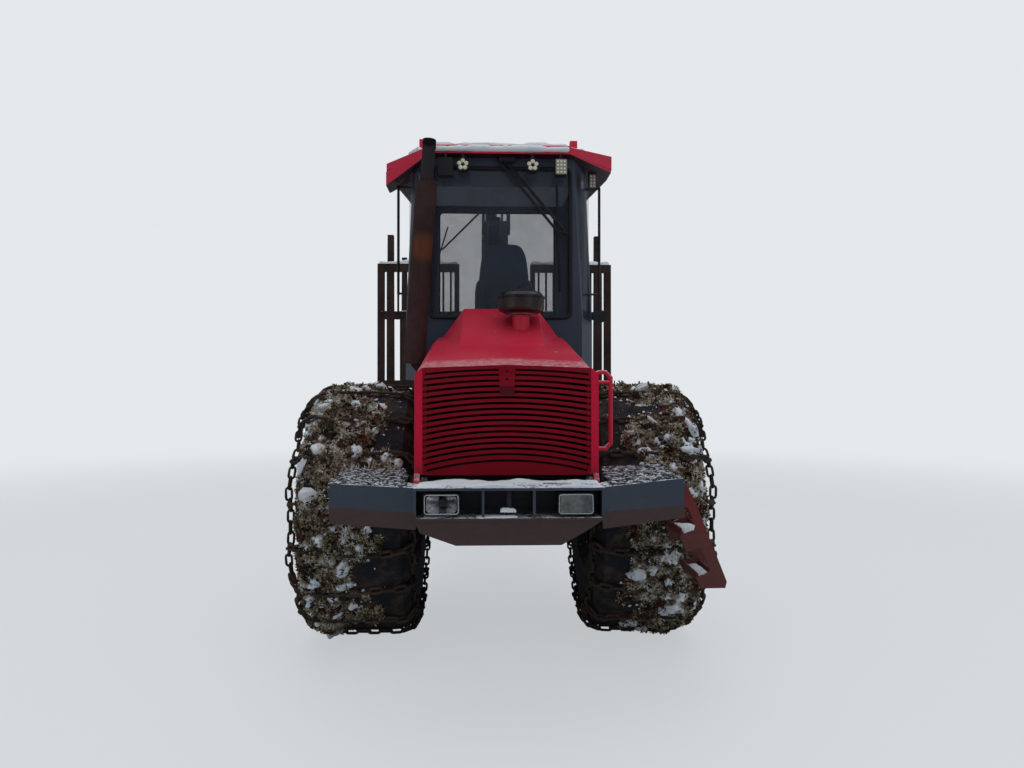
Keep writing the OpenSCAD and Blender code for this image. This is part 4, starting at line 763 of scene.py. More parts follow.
def light_studio():
    """A large soft lamp above, two weaker ones in front, and a pale world behind."""
    soft_lamp("overhead", (0, -1, 11), (0, 0, 0), (14, 16), 640)
    soft_lamp("front_left", (7, -12, 6), (0, -2, 1.5), (7, 5), 90)
    soft_lamp("front_right", (-8, -10, 5), (0, -2, 1.5), (6, 5), 55)
    world = bpy.data.worlds.new("pale_world")
    world.use_nodes = True
    nodes, links = world.node_tree.nodes, world.node_tree.links
    light = nodes["Background"]
    light.inputs["Color"].default_value = (0.82, 0.91, 1.0, 1)
    light.inputs["Strength"].default_value = 0.27
    seen = nodes.new("ShaderNodeBackground")
    seen.inputs["Color"].default_value = (*BACKDROP, 1)
    rays = nodes.new("ShaderNodeLightPath")
    pale = nodes.new("ShaderNodeMath")
    pale.operation = "MAXIMUM"
    links.new(rays.outputs["Is Camera Ray"], pale.inputs[0])
    links.new(rays.outputs["Is Transmission Ray"], pale.inputs[1])
    mix = nodes.new("ShaderNodeMixShader")
    for number, shown in enumerate((pale, light, seen)):
        links.new(shown.outputs[0], mix.inputs[number])
    links.new(mix.outputs[0], nodes["World Output"].inputs[0])
    bpy.context.scene.world = world


def lay_floor():
    """Plain pale floor that runs into the backdrop's colour away from the machine."""
    f = Finish("floor_pale", roughness=0.9)
    f.shader.inputs["Base Color"].default_value = (0.8, 0.83, 0.86, 1)
    far = f.node("ShaderNodeVectorMath", {"operation": "LENGTH"}, {0: f.place}, "Value").between(4.0, 15.0)
    seen = f.node("ShaderNodeLightPath", {}, {}, "Is Camera Ray") * (far * 0.35 + 0.65)
    plain = f.node("ShaderNodeEmission", {}, {"Color": (*BACKDROP, 1)})
    mixed = f.node("ShaderNodeMixShader", {}, {0: seen, 1: Signal(f, f.shader.outputs[0]), 2: plain})
    f.tree.links.new(mixed.socket, f.tree.nodes["Material Output"].inputs[0])
    corners = [(x * FLOOR_HALF, y * FLOOR_HALF, 0) for x, y in ((-1, -1), (1, -1), (1, 1), (-1, 1))]
    add_object("floor", mesh_of(corners, [(0, 1, 2, 3)]), f.material)


# Chains on the front wheels: side rings and cross chains of links

# Links: pitch, width, and the radius of the bar in the rings and in the cross chains
LINK_PITCH = 0.066
LINK_WIDTH = 0.05
RING_WIRE = 0.0078
CROSS_WIRE = 0.0095

# Side rings: radius, places outward from the tyre's middle, and points; and number of cross chains
RING_RADIUS = 0.69
RING_INNER = -0.335
RING_OUTER = 0.378
RING_STEPS = 120
CHAIN_ROWS = 18

# Cross chain over the tyre: place outward from the tyre's middle, and radius
CROSS_PATH = [(-0.335, 0.69), (-0.336, 0.725), (-0.318, 0.766), (-0.262, 0.8), (-0.15, 0.804), (0.0, 0.804),
              (0.15, 0.804), (0.262, 0.8), (0.33, 0.772), (0.368, 0.73), (0.378, 0.69)]


def link_mesh(wire):
    """One oval link along X, with its middle at the origin; wire is the radius of its bar."""
    bend = LINK_WIDTH / 2 - wire
    straight = (LINK_PITCH + wire * 1.2) / 2 - bend
    points = []
    for end in (1, -1):
        for k in range(6):
            turn = math.pi * k / 5 - math.pi / 2
            points.append((end * (straight + bend * math.cos(turn)), end * bend * math.sin(turn), 0))
    return tube_mesh(points, wire, 6, closed=True)


def chain_recipe():
    """Links along a path, each turned a quarter from the one before."""
    r = Recipe("links_on_path", {"Pitch": LINK_PITCH, "Link": None})
    curve = r.node("GeometryNodeMeshToCurve", Mesh=r.size("Geometry"))
    even = r.node("GeometryNodeResampleCurve", {"mode": "LENGTH"}, Curve=curve, Length=r.size("Pitch"))
    aim = r.node("FunctionNodeAxesToRotation", {"primary_axis": "X", "secondary_axis": "Z"},
                 Primary_Axis=r.node("GeometryNodeInputTangent"),
                 Secondary_Axis=r.node("GeometryNodeInputNormal"))
    odd = r.node("ShaderNodeMath", {"operation": "MODULO"}, _0=r.node("GeometryNodeInputIndex"), _1=2.0)
    quarter = r.node("ShaderNodeMath", {"operation": "MULTIPLY"}, _0=odd, _1=math.pi / 2)
    turn = r.node("FunctionNodeAxisAngleToRotation", Axis=(1, 0, 0), Angle=quarter)
    both = r.node("FunctionNodeRotateRotation", {"rotation_space": "LOCAL"}, Rotation=aim, Rotate_By=turn)
    r.end(r.copies(even, "Link", Rotation=both), chain_rust)
    return r


def wheel_point(side, x, radius, turn):
    """A point of a front wheel: x outward from the tyre's middle."""
    up, back = radius * math.cos(turn), radius * math.sin(turn)
    return Vector((side * (FRONT_TRACK + x), FRONT_AXLE_Y + back, FRONT_AXLE_Z + up))


def ring_path(side, x):
    """Path of a side ring, which hangs a little slack."""
    points = []
    for turn in turns(RING_STEPS):
        slack = 0.012 * math.sin(9 * turn) + 0.006 * math.sin(23 * turn)
        points.append(wheel_point(side, x + slack * 0.5 * (x > 0), RING_RADIUS + slack, turn))
    return mesh_of(points, edges=[(k, (k + 1) % RING_STEPS) for k in range(RING_STEPS)])


def cross_paths(side):
    """Paths of the cross chains, none quite square to the tread."""
    points, edges = [], []
    for row in range(CHAIN_ROWS):
        turn = 2 * math.pi * (row + 0.03 * math.sin(row * 2.3)) / CHAIN_ROWS
        first = len(points)
        for n, (x, radius) in enumerate(CROSS_PATH):
            slack = 0.02 * math.sin(n * 0.9 + row * 2.0) + 0.008 * math.sin(n * 2.3 + row)
            points.append(wheel_point(side, x, radius, turn + slack))
        edges += [(first + n, first + n + 1) for n in range(len(CROSS_PATH) - 1)]
    return mesh_of(points, edges=edges)


def put_on_chains():
    """Side rings and cross chains of real links, in place of the CAD chains."""
    recipe = chain_recipe()
    link = hidden(link_mesh(RING_WIRE))
    stout = hidden(link_mesh(CROSS_WIRE))
    for side, word in ((1, "left"), (-1, "right")):
        parts = [
            recipe.run(f"chain_ring_{word}_outer", ring_path(side, RING_OUTER), Link=link),
            recipe.run(f"chain_ring_{word}_inner", ring_path(side, RING_INNER), Link=link),
            recipe.run(f"chain_cross_{word}", cross_paths(side), Link=stout),
        ]
        for part in parts:
            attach(part, f"front_{word}_wheel")
        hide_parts(f"front_{word}_chain")


# Cake of moss, leaves, mud and snow on the front wheels

# Points round the wheel and across the tyre, greatest depth, and height kept above the floor
CAKE_ROUNDS = 400
CAKE_STEPS = 100
CAKE_MOST = 0.045
FLOOR_GAP = 0.003

# Outline of the front tyre with nothing on it: place outward from its middle, and radius
TYRE_OUTLINE = [(-0.318, 0.40), (-0.33, 0.56), (-0.318, 0.72), (-0.275, 0.777), (-0.165, 0.79), (0.0, 0.79),
                (0.165, 0.79), (0.275, 0.777), (0.318, 0.72), (0.33, 0.56), (0.318, 0.40)]


def along_outline(steps):
    """Even points of the tyre's outline, each with its outward direction, blurred over the corners."""
    corners = [Vector(c) for c in TYRE_OUTLINE]
    lengths = [(b - a).length for a, b in zip(corners, corners[1:])]
    spots, ways = [], []
    for k in range(steps + 1):
        left = sum(lengths) * k / steps
        for a, b, length in zip(corners, corners[1:], lengths):
            if left <= length + 1e-9:
                way = (b - a).normalized()
                spots.append(a.lerp(b, left / length))
                ways.append(Vector((-way.y, way.x)))
                break
            left -= length
    for _ in range(3):
        middle = [(a + b + c).normalized() for a, b, c in zip(ways, ways[1:], ways[2:])]
        ways = [ways[0], *middle, ways[-1]]
    return list(zip(spots, ways))


def cake_cover(side, place):
    """From 0, bare rubber, to 1, all moss, leaves and mud: the outer two thirds of the tread hold most."""
    out = side * place.x - FRONT_TRACK
    spread = noise.fractal(place * 3.6 + Vector((9 * side, 2, 5)), 0.9, 2.0, 3)
    return max(0.0, min(1.0, (out + 0.13) * 5 + 1.5 * spread))


def cake_depth(side, place):
    """How thick the moss and mud lie at a place: clods with bare gaps, thinner on the walls."""
    clods = noise.fractal(place * 11, 0.8, 2.1, 4)
    lumps = max(0.0, noise.noise(place * 26)) * 0.5
    crumbs = noise.fractal(place * 60, 0.7, 2.2, 4)
    wall = max(0.0, min(1.0, (abs(side * place.x - FRONT_TRACK) - 0.285) / 0.03))
    thick = 0.014 + 0.028 * clods + 0.016 * lumps + 0.012 * crumbs
    return -0.004 + cake_cover(side, place) * (1 - 0.6 * wall) * thick


def cake_mesh(side):
    """Closed shell of moss and mud round the tyre, flat where the wheel stands."""
    outline = along_outline(CAKE_STEPS)
    vertices = []
    for turn in turns(CAKE_ROUNDS):
        for spot, way in outline:
            base = wheel_point(side, spot.x, spot.y, turn)
            edge = 1 - max(0.0, (0.46 - spot.y) / 0.06)
            depth = min(cake_depth(side, base) * max(0.0, edge), CAKE_MOST)
            point = wheel_point(side, spot.x + way.x * depth, spot.y + way.y * depth, turn)
            point.z = max(point.z, FLOOR_GAP)
            vertices.append(point)
    faces = quads(CAKE_ROUNDS, CAKE_STEPS + 1, True, False, flip=True)
    # Inner wall, from one bead of the tyre to the other
    wall = len(vertices)
    for turn in turns(CAKE_ROUNDS):
        for spot in (outline[0][0], outline[-1][0]):
            vertices.append(wheel_point(side, spot.x * 0.85, spot.y + 0.02, turn))
    for k in range(CAKE_ROUNDS):
        n = (k + 1) % CAKE_ROUNDS
        inner, inner_next = k * (CAKE_STEPS + 1), n * (CAKE_STEPS + 1)
        outer, outer_next = inner + CAKE_STEPS, inner_next + CAKE_STEPS
        a, b, a_next, b_next = wall + 2 * k, wall + 2 * k + 1, wall + 2 * n, wall + 2 * n + 1
        faces += [(inner, a, a_next, inner_next), (outer, outer_next, b_next, b), (a, b, b_next, a_next)]
    if side > 0:
        faces = [tuple(reversed(face)) for face in faces]
    return mesh_of(vertices, faces)


def scatter_recipe():
    """Small shapes strewn over a mesh, standing on its faces at random turns and sizes."""
    r = Recipe("strewn", {"Per Square Metre": 500.0, "Smallest": 0.6, "Largest": 1.4, "Lean": 1.2, "Seed": 1,
                          "Bit": None})
    spread = r.node("GeometryNodeDistributePointsOnFaces", Mesh=r.size("Geometry"),
                    Density=r.size("Per Square Metre"), Seed=r.size("Seed"))
    lean = r.node("FunctionNodeRandomValue", {"data_type": "FLOAT_VECTOR"}, Seed=5)
    centred = r.node("ShaderNodeVectorMath", {"operation": "SUBTRACT"}, _0=lean, _1=(0.5, 0.5, 0.5))
    tipped = r.node("ShaderNodeVectorMath", {"operation": "SCALE"}, _0=centred, Scale=r.size("Lean"))
    spin = r.node("FunctionNodeRandomValue", {"data_type": "FLOAT"}, 1, _2=0.0, _3=6.2832, Seed=7)
    about = r.node("ShaderNodeCombineXYZ", Z=spin)
    local = r.node("ShaderNodeVectorMath", {"operation": "ADD"}, _0=tipped, _1=about)
    turn = r.node("FunctionNodeEulerToRotation", _0=local)
    upright = spread.node.outputs["Rotation"]
    both = r.node("FunctionNodeRotateRotation", {"rotation_space": "LOCAL"}, Rotation=upright,
                  Rotate_By=turn)
    size = r.node("FunctionNodeRandomValue", {"data_type": "FLOAT"}, 1, _2=r.size("Smallest"),
                  _3=r.size("Largest"), Seed=11)
    return r, r.copies(spread, "Bit", Rotation=both, Scale=size)


def leaf_mesh():
    """A curled oval leaf about 50 mm long; its rows are place along it, half width and rise."""
    rows = [(-0.025, 0.002, 0.0), (-0.012, 0.011, 0.004), (0.002, 0.015, 0.002), (0.016, 0.010, 0.005),
            (0.027, 0.001, 0.012)]
    vertices = []
    for x, half, rise in rows:
        vertices += [(x, -half, rise + 0.006), (x, 0, rise), (x, half, rise + 0.008)]
    return mesh_of(vertices, quads(len(rows), 3, flip=True))


def tuft_mesh():
    """A small clump of moss: a few short bent blades from one root."""
    rng = random.Random(3)
    vertices, faces = [], []
    for turn in turns(8):
        turn += rng.uniform(-0.3, 0.3)
        out = rng.uniform(0.014, 0.032)
        rise = rng.uniform(0.008, 0.024)
        way = Vector((math.cos(turn), math.sin(turn), 0))
        across = Vector((-way.y, way.x, 0)) * 0.0026
        root = Vector((0, 0, 0))
        middle = way * out * 0.6 + Vector((0, 0, rise))
        tip = way * out + Vector((0, 0, rise * 0.6))
        a = len(vertices)
        vertices += [root - across, root + across, middle + across, middle - across, tip]
        faces += [(a, a + 1, a + 2, a + 3), (a + 3, a + 2, a + 4)]
    return mesh_of(vertices, faces)


def clump_mesh(radius, seed, flat=0.7, fine=2):
    """A rounded lump of snow that sits half sunk in what it lies on."""
    build = bmesh.new()
    bmesh.ops.create_icosphere(build, subdivisions=fine, radius=1.0)
    for vertex in build.verts:
        swell = 1 + 0.75 * noise.fractal(vertex.co * 1.6 + Vector((seed, 0, 0)), 0.6, 2.2, 5)
        vertex.co = Vector((vertex.co.x * 1.25, vertex.co.y, vertex.co.z * flat)) * radius * swell
    mesh = mesh_from(build)
    mesh.shade_smooth()
    return mesh


def on_tread(side, spot, least):
    """Whether a spot of the cake is on the tread or the outer wall, off the floor, and covered enough."""
    from_axle = math.hypot(spot.y - FRONT_AXLE_Y, spot.z - FRONT_AXLE_Z)
    out = side * spot.x - FRONT_TRACK
    tread = from_axle > 0.76 or out > 0.3 and from_axle > 0.66
    return tread and spot.z > 0.035 and cake_cover(side, spot) > least


def covered_part(mesh, side, least):
    """Copy of the faces of a cake that lie on the tread, where it is covered by more than least."""
    build = bmesh.new()
    build.from_mesh(mesh)
    gone = [face for face in build.faces if not on_tread(side, face.calc_center_median(), least)]
    bmesh.ops.delete(build, geom=gone, context="FACES")
    return mesh_from(build)


def cake_wheels():
    """The cake round each front wheel, and what is strewn on it."""
    # Piece, shape, finish, number to the square metre, seed, and how covered the place has to be
    kinds = (
        ("leaves", leaf_mesh(), leaf_finish(), 620.0, 3, 0.35),
        ("moss", tuft_mesh(), moss_finish(), 1500.0, 9, 0.3),
        ("clumps", clump_mesh(0.036, 1.0, 0.55), snow_white, 20.0, 21, 0.6),
        ("small_clumps", clump_mesh(0.024, 6.0), snow_white, 36.0, 33, 0.1),
        ("flecks", clump_mesh(0.0075, 4.0, fine=1), snow_white, 260.0, 45, 0.02),
    )
    bits = [hidden(mesh) for _, mesh, *_ in kinds]
    litter = litter_finish()
    recipe, strewn = scatter_recipe()
    for side, word in ((1, "left"), (-1, "right")):
        mesh = cake_mesh(side)
        cake = add_object(f"cake_{word}", mesh, litter)
        smooth(cake, 50)
        for bit, (kind, _, finish, density, seed, least) in zip(bits, kinds):
            recipe.end(strewn, finish)
            sizes = {"Per Square Metre": density, "Seed": seed + side, "Bit": bit}
            piece = recipe.run(f"{kind}_{word}", covered_part(mesh, side, least), **sizes)
            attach(piece, f"front_{word}_wheel")
        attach(cake, f"front_{word}_wheel")


# Details that repeat: wheel nuts and the mesh on the wings

def spots_recipe():
    """The same small shape at each point of a mesh."""
    r = Recipe("shape_at_points", {"Shape": None})
    return r, r.copies(r.size("Geometry"), "Shape")


def wheel_nuts(recipe, shapes):
    """Rings of nuts on their studs."""
    # Wheel's body, its rim, the tyre's middle, the ring's radius and place outward, and number of nuts
    wheels = [(f"front_{side}_wheel", f"front_{side}_rim", FRONT_TRACK, 0.188, 0.044, 12) for side in SIDES]
    wheels += [(f"rear_wheel_{n}", f"rear_rim_{n}", REAR_TRACK, 0.166, 0.042, 10) for n in REAR_WHEELS]
    recipe.end(shapes, engine_iron)
    for body, node, track, radius, out, count in wheels:
        low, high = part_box(node)
        centre = (low + high) / 2
        side = 1 if centre.x > 0 else -1
        nut = turned_mesh([(0, 0), (0.019, 0), (0.019, side * 0.02), (0.011, side * 0.024),
                           (0.011, side * 0.036), (0, side * 0.036)], 6, "X", Vector((0, 0, 0)))
        places = [Vector((side * (track + out), centre.y + radius * math.cos(turn),
                          centre.z + radius * math.sin(turn))) for turn in turns(count)]
        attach(recipe.run(f"nuts_{body}", mesh_of(places), Shape=hidden(nut)), body)


# Plan of a wing's opening, and its diamonds: width, length, and bar's radius
WING_PLAN = [(0.47, -1.7), (0.842, -1.545), (0.86, -0.9), (0.57, -0.9), (0.512, -1.34), (0.512, -1.53)]
DIAMOND_WIDE, DIAMOND_LONG, DIAMOND_BAR = 0.05, 0.03, 0.0032

# Height of the mesh, and how much it rises on the left wing for each metre outward
WING_TOP = 1.1665
WING_TILT = 0.0437


def expanded_metal(recipe, shapes):
    """Diamond mesh over the wings' slats; the left wing is bent up a little."""
    wide, long = DIAMOND_WIDE / 2, DIAMOND_LONG / 2
    diamond = hidden(tube_mesh([(wide, 0, 0), (0, long, 0), (-wide, 0, 0), (0, -long, 0)], DIAMOND_BAR, 4,
                               closed=True))
    recipe.end(shapes, frosted_metal())
    for side, word in ((1, "left"), (-1, "right")):
        places = []
        for i in range(9):
            for k in range(56):
                x, s = 0.45 + (i + k % 2 / 2) * DIAMOND_WIDE, -1.71 + k * DIAMOND_LONG / 2
                if inside(WING_PLAN, x, s):
                    lift = (x - 0.43) * WING_TILT if side > 0 else 0.0
                    places.append(at(side * x, s, WING_TOP + lift))
        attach(recipe.run(f"wing_mesh_{word}", mesh_of(places), Shape=diamond), "front")


# Headlamps, radiator, outer slots and the torn exhaust

BOWL_RINGS = 14
BOWL_SIDES = 48


def bowl_mesh(centre, half_x, half_z, deep):
    """Reflector that opens forward, round at its bottom and nearly square at its mouth."""
    vertices = []
    for ring in range(BOWL_RINGS + 1):
        f = ring / BOWL_RINGS
        power = 2 + 4 * f
        for turn in turns(BOWL_SIDES):
            c, s = math.cos(turn), math.sin(turn)
            reach = f * (abs(c) ** power + abs(s) ** power) ** (-1 / power)
            vertices.append(centre + Vector((half_x * c * reach, deep * (1 - f * f), half_z * s * reach)))
    return mesh_of(vertices, quads(BOWL_RINGS + 1, BOWL_SIDES, False, True))


def lens_mesh(centre, half_x, half_z, swell):
    """Headlamp's glass, nearly flat, that swells forward away from its rim."""
    vertices = []
    for i in range(17):
        for k in range(9):
            u, v = i / 8 - 1, k / 4 - 1
            out = swell * ((1 - u ** 4) * (1 - v ** 4))
            vertices.append(centre + Vector((u * half_x, -out, v * half_z)))
    return mesh_of(vertices, quads(17, 9))


def fit_headlamps():
    """An open reflector on the right, with black plugs as painted shade in its bulb's hole, and a fogged
    lens on the left.
    """
    place = at(HEADLAMP_RIGHT, -1.787, HEADLAMP_Z)
    fit("open_reflector", [bowl_mesh(place, 0.069, 0.039, 0.042)], lamp_steel, "front")
    # Painted shade: black plugs stand in the bulb's hole and in a small hole beside it.
    holes = [plug_mesh(place + Vector((0.002, 0.008, 0.004)), 0.017, 0.0, 0.034, 24),
             plug_mesh(place + Vector((0.048, 0.012, 0.012)), 0.005, 0.0, 0.02)]
    fit("bulb_hole", holes, trim_black, "front")
    fog = Finish("fogged_lens", roughness=0.35, shine=0.5)
    cloudy = fog.noise(12, 6, 0.7).between(0.3, 0.7)
    grey = fog.blend(cloudy, (0.05, 0.06, 0.06), (0.2, 0.22, 0.2))
    glass = fog.finish(grey, 0.35, relief=fog.waves(60, 0.3), depth=0.001)
    lens = lens_mesh(at(HEADLAMP_LEFT, -1.7925, HEADLAMP_Z), 0.071, 0.0395, 0.006)
    fit("fogged_lens", [lens], glass, "front")
    rims = [tube_mesh(seal_path(x - 0.076, x + 0.076, 1.054, 1.14, 0.012, -1.789), 0.004, 6, closed=True)
            for x in (HEADLAMP_RIGHT, HEADLAMP_LEFT)]
    fit("lamp_rims", rims, lamp_steel, "front")


def fit_radiator():
    """Dark finned core that shows through the grille's slots, on two feet on the frame."""
    f = Finish("radiator_core", roughness=0.7, shine=0.1)
    fins = f.waves(90, 0.0)
    dark = f.finish(f.blend(fins, (0.004, 0.004, 0.005), (0.016, 0.015, 0.016)), 0.7, relief=fins)
    boxes = [box_mesh(at(-0.405, -1.375, 1.08), at(0.405, -1.325, 1.645))]
    boxes += [box_mesh(at(x - 0.02, -1.37, 1.061), at(x + 0.02, -1.33, 1.085)) for x in (-0.22, 0.22)]
    fit("radiator", boxes, dark, "front", FLAT)


# Slots above and below the cut ones: height at their ends, sag, half length, and half the gap at the plate
OUTER_SLOTS = ((1.66, 0.026, 0.41, 0.042), (1.688, 0.022, 0.405, 0.042), (1.24, 0.054, 0.41, 0.0),
               (1.212, 0.05, 0.398, 0.0))

# A strip's steps along its arc, half its height and its depth, and the place of the blank plate's face
SLOT_STEPS = 28
SLOT_HALF = 0.005
SLOT_DEEP = 0.0025
PLATE_S = -1.4535


def slot_mesh(end_z, sag, half, first, last):
    """Dark strip of painted shade, as a slot, from first to last along an arc that rises by sag in its
    middle.
    """
    bow = (half * half + sag * sag) / (2 * sag)
    back = GRILLE_S + SLOT_DEEP
    section = ((GRILLE_S, -SLOT_HALF), (GRILLE_S, SLOT_HALF), (back, SLOT_HALF), (back, -SLOT_HALF))
    vertices = []
    for k in range(SLOT_STEPS + 1):
        x = first + (last - first) * k / SLOT_STEPS
        z = end_z + sag - bow + math.sqrt(bow * bow - x * x)
        vertices += [at(x, s, z + rise) for s, rise in section]
    end = 4 * SLOT_STEPS
    ends = [(3, 2, 1, 0), (end, end + 1, end + 2, end + 3)]
    return mesh_of(vertices, quads(SLOT_STEPS + 1, 4, False, True) + ends)


def outer_slots():
    """Dark bowed strips of painted shade in line with the grille's slots, dark plugs of painted shade
    as the blank plate's holes, and the plate below.
    """
    dark = Finish("slot_shadow", roughness=0.8, shine=0.05).finish((0.004, 0.002, 0.003))
    meshes = []
    for end_z, sag, half, gap in OUTER_SLOTS:
        spans = [(-half, -gap), (gap, half)] if gap else [(-half, half)]
        meshes += [slot_mesh(end_z, sag, half, first, last) for first, last in spans]
    meshes += [plug_mesh(at(0, PLATE_S, z), 0.0055, -0.0028, 0.002) for z in (1.701, 1.664)]
    fit("outer_slots", meshes, dark, "hood", FLAT)
    maroon = Finish("maroon_plate", roughness=0.5, shine=0.15).finish((0.1, 0.006, 0.014))
    plate = box_mesh(at(-0.037, PLATE_S, 1.587), at(0.037, -1.449, 1.6275))
    fit("maroon_plate", [plate], maroon, "hood", FLAT)


def torn_pipe():
    """Thin jagged edge that rust has left at the top of the exhaust's tail pipe."""
    rng = random.Random(8)
    centre, count = at(-0.4745, -0.17, 3.2), 40
    vertices, rise = [], 0.05
    for turn in turns(count):
        rise = min(0.062, max(0.03, rise + rng.uniform(-0.013, 0.013)))
        way = Vector((math.cos(turn), math.sin(turn), 0))
        for radius, height in ((0.0445, 0.0), (0.0448, rise), (0.0428, rise - 0.001), (0.0372, 0.0)):
            vertices.append(centre + way * radius + Vector((0.01 * height, 0, height)))
    pipe = mesh_of(vertices, quads(count, 4, True, True, flip=True))
    # Its finish paints the top above a broken line near black, as shade of the pipe's inside.
    fit("torn_pipe_top", [pipe], exhaust_rust, "front", FLAT)


# Seat

def cushion_mesh(low, high, square, taper=0.0):
    """Stuffed block between two corners: square, from 2 up, flattens its faces, taper narrows its top."""
    build = bmesh.new()
    bmesh.ops.create_cube(build, size=2)
    bmesh.ops.subdivide_edges(build, edges=build.edges, cuts=9, use_grid_fill=True)
    middle, half = (low + high) / 2, (high - low) / 2
    for vertex in build.verts:
        c = vertex.co
        c = c / (abs(c.x) ** square + abs(c.y) ** square + abs(c.z) ** square) ** (1 / square)
        width = 1 - taper * (c.z + 1) / 2
        vertex.co = middle + Vector((c.x * half.x * width, c.y * half.y, c.z * half.z))
    return mesh_from(build)


# Cushions of the seat: right side, left side, front, back, foot, top, squareness and taper
CUSHIONS = (
    (-0.19, 0.19, 0.64, 1.11, 1.985, 2.105, 4, 0.0),
    (-0.225, -0.13, 0.64, 1.11, SEAT_FOOT, 2.128, 3, 0.0),
    (0.13, 0.225, 0.64, 1.11, SEAT_FOOT, 2.128, 3, 0.0),
    (-0.19, 0.19, 0.63, 0.72, SEAT_FOOT, 2.118, 3, 0.0),
    (-0.245, 0.245, 1.03, 1.12, 2.09, 2.8, 5, 0.28),
    (-0.238, -0.15, 1.0, 1.09, 2.11, 2.5, 3, 0.0),
    (0.15, 0.238, 1.0, 1.09, 2.11, 2.5, 3, 0.0),
    (-0.15, 0.15, 1.01, 1.08, 2.15, 2.36, 3, 0.0),
)
KNOB = [(0, 2.14), (0.02, 2.145), (0.03, 2.17), (0.027, 2.2), (0.012, 2.215), (0, 2.217)]


def fit_seat():
    """Stuffed seat in place of the CAD one, on its pedestal, and the knobs of the levers beside it."""
    stuffed = [cushion_mesh(at(SEAT_X + x0, s0, z0), at(SEAT_X + x1, s1, z1), square, taper)
               for x0, x1, s0, s1, z0, z1, square, taper in CUSHIONS]
    seat = fit("stuffed_seat", stuffed, seat_cloth, "front", SOFT)
    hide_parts("seat")
    bellows = [(0, 1.731), (0.17, 1.731), (0.17, 1.75), (0.13, 1.76)]
    for k in range(6):
        bellows += [(0.15, 1.775 + 0.03 * k), (0.125, 1.79 + 0.03 * k)]
    bellows += [(0.16, 1.96), (0.16, 1.984), (0, 1.984)]
    base = turned_mesh(bellows, 32, "Z", at(SEAT_X, 0.88, 0))
    back = box_mesh(at(SEAT_X - 0.17, 1.118, 2.1), at(SEAT_X + 0.17, 1.135, 2.68))
    fit("seat_base", [base, back], trim_black, "front")
    knobs = [turned_mesh(KNOB, 20, "Z", at(SEAT_X + side * 0.275, 0.75, 0)) for side in (-1, 1)]
    fit("lever_knobs", knobs, trim_black, "front")


# Pipes on the crane

PIPE_RADIUS = 0.0125
COLUMN_FOOT = 1.62


def column_s(z):
    """How far the column's front face has gone back at a height: 20 mm in 1.5 m."""
    return 0.02 * (z - COLUMN_FOOT) / 1.5


def sloped(root, degrees, x, along, up):
    """Point of a beam that rises from root: left, along it and above its middle line."""
    c, s = math.cos(math.radians(degrees)), math.sin(math.radians(degrees))
    return root + Vector((x, along * c - up * s, along * s + up * c))


def fit_pipes():
    """Rigid hydraulic pipes along the column and the booms, clamped to the column."""
    steel = soft_black("pipe_black", (0.014, 0.014, 0.016), 0.4, 300, 0.1)
    boom_root = at(0, BOOM_S, BOOM_Z)
    jib_root = sloped(boom_root, BOOM_SLOPE, 0, BOOM_LENGTH, 0)
    sets = {
        "column": [[at(x, 1.955 + column_s(z), z) for z in (COLUMN_FOOT, 2.1, 2.6, 3.14)]
                   for x in (-0.05, -0.018, 0.014)],
        "boom": [[sloped(boom_root, BOOM_SLOPE, 0.1035, along, up) for along in (0.42, 1.2, 2.2)]
                 for up in (0.035, 0.005, -0.025)],
        "outer_boom": [[sloped(jib_root, JIB_SLOPE, 0.0765, along, up) for along in (0.3, 1.0, 1.85)]
                       for up in (0.02, -0.01)],
    }
    for body, paths in sets.items():
        fit(f"pipes_{body}", [tube_mesh(path, PIPE_RADIUS) for path in paths], steel, body)
    clips = [box_mesh(at(-0.075, 1.94 + column_s(z), z - 0.02), at(0.04, 1.99, z + 0.02))
             for z in (1.8, 2.4, 3.0)]
    fit("pipe_clips", clips, black_paint, "column", FLAT)


# Fittings on the cab

# Pixels where the windscreen's wiper shows: its two arms, its blade's ends, its pivot and its motor
ARMS_PX = (((496, 158), (556.6, 230)), ((503.6, 159), (567, 233)))
BLADE_PX = ((556.6, 185), (560, 291))
PIVOT_PX = (558, 231)
MOTOR_PX = (503, 160)
REAR_ARM_PX = ((482, 210), (442, 250))

# Wiper arms' radius, and the planes that the arms and the blade lie in, behind the front axle
ARM_RADIUS = 0.0095
ARM_S = 0.075
BLADE_S = 0.088
REAR_ARM_S = 1.475


def glass_point(pixel, s):
    """Point of the plane s behind the front axle that the photograph shows at a pixel."""
    px, py = pixel
    depth = CAMERA_AHEAD + s
    x = (px - VANISHING_PX - ASIDE_PX / depth) / FOCAL_PX * depth
    return at(x, s, EYE_HEIGHT + (HORIZON_PX - py) / FOCAL_PX * depth)


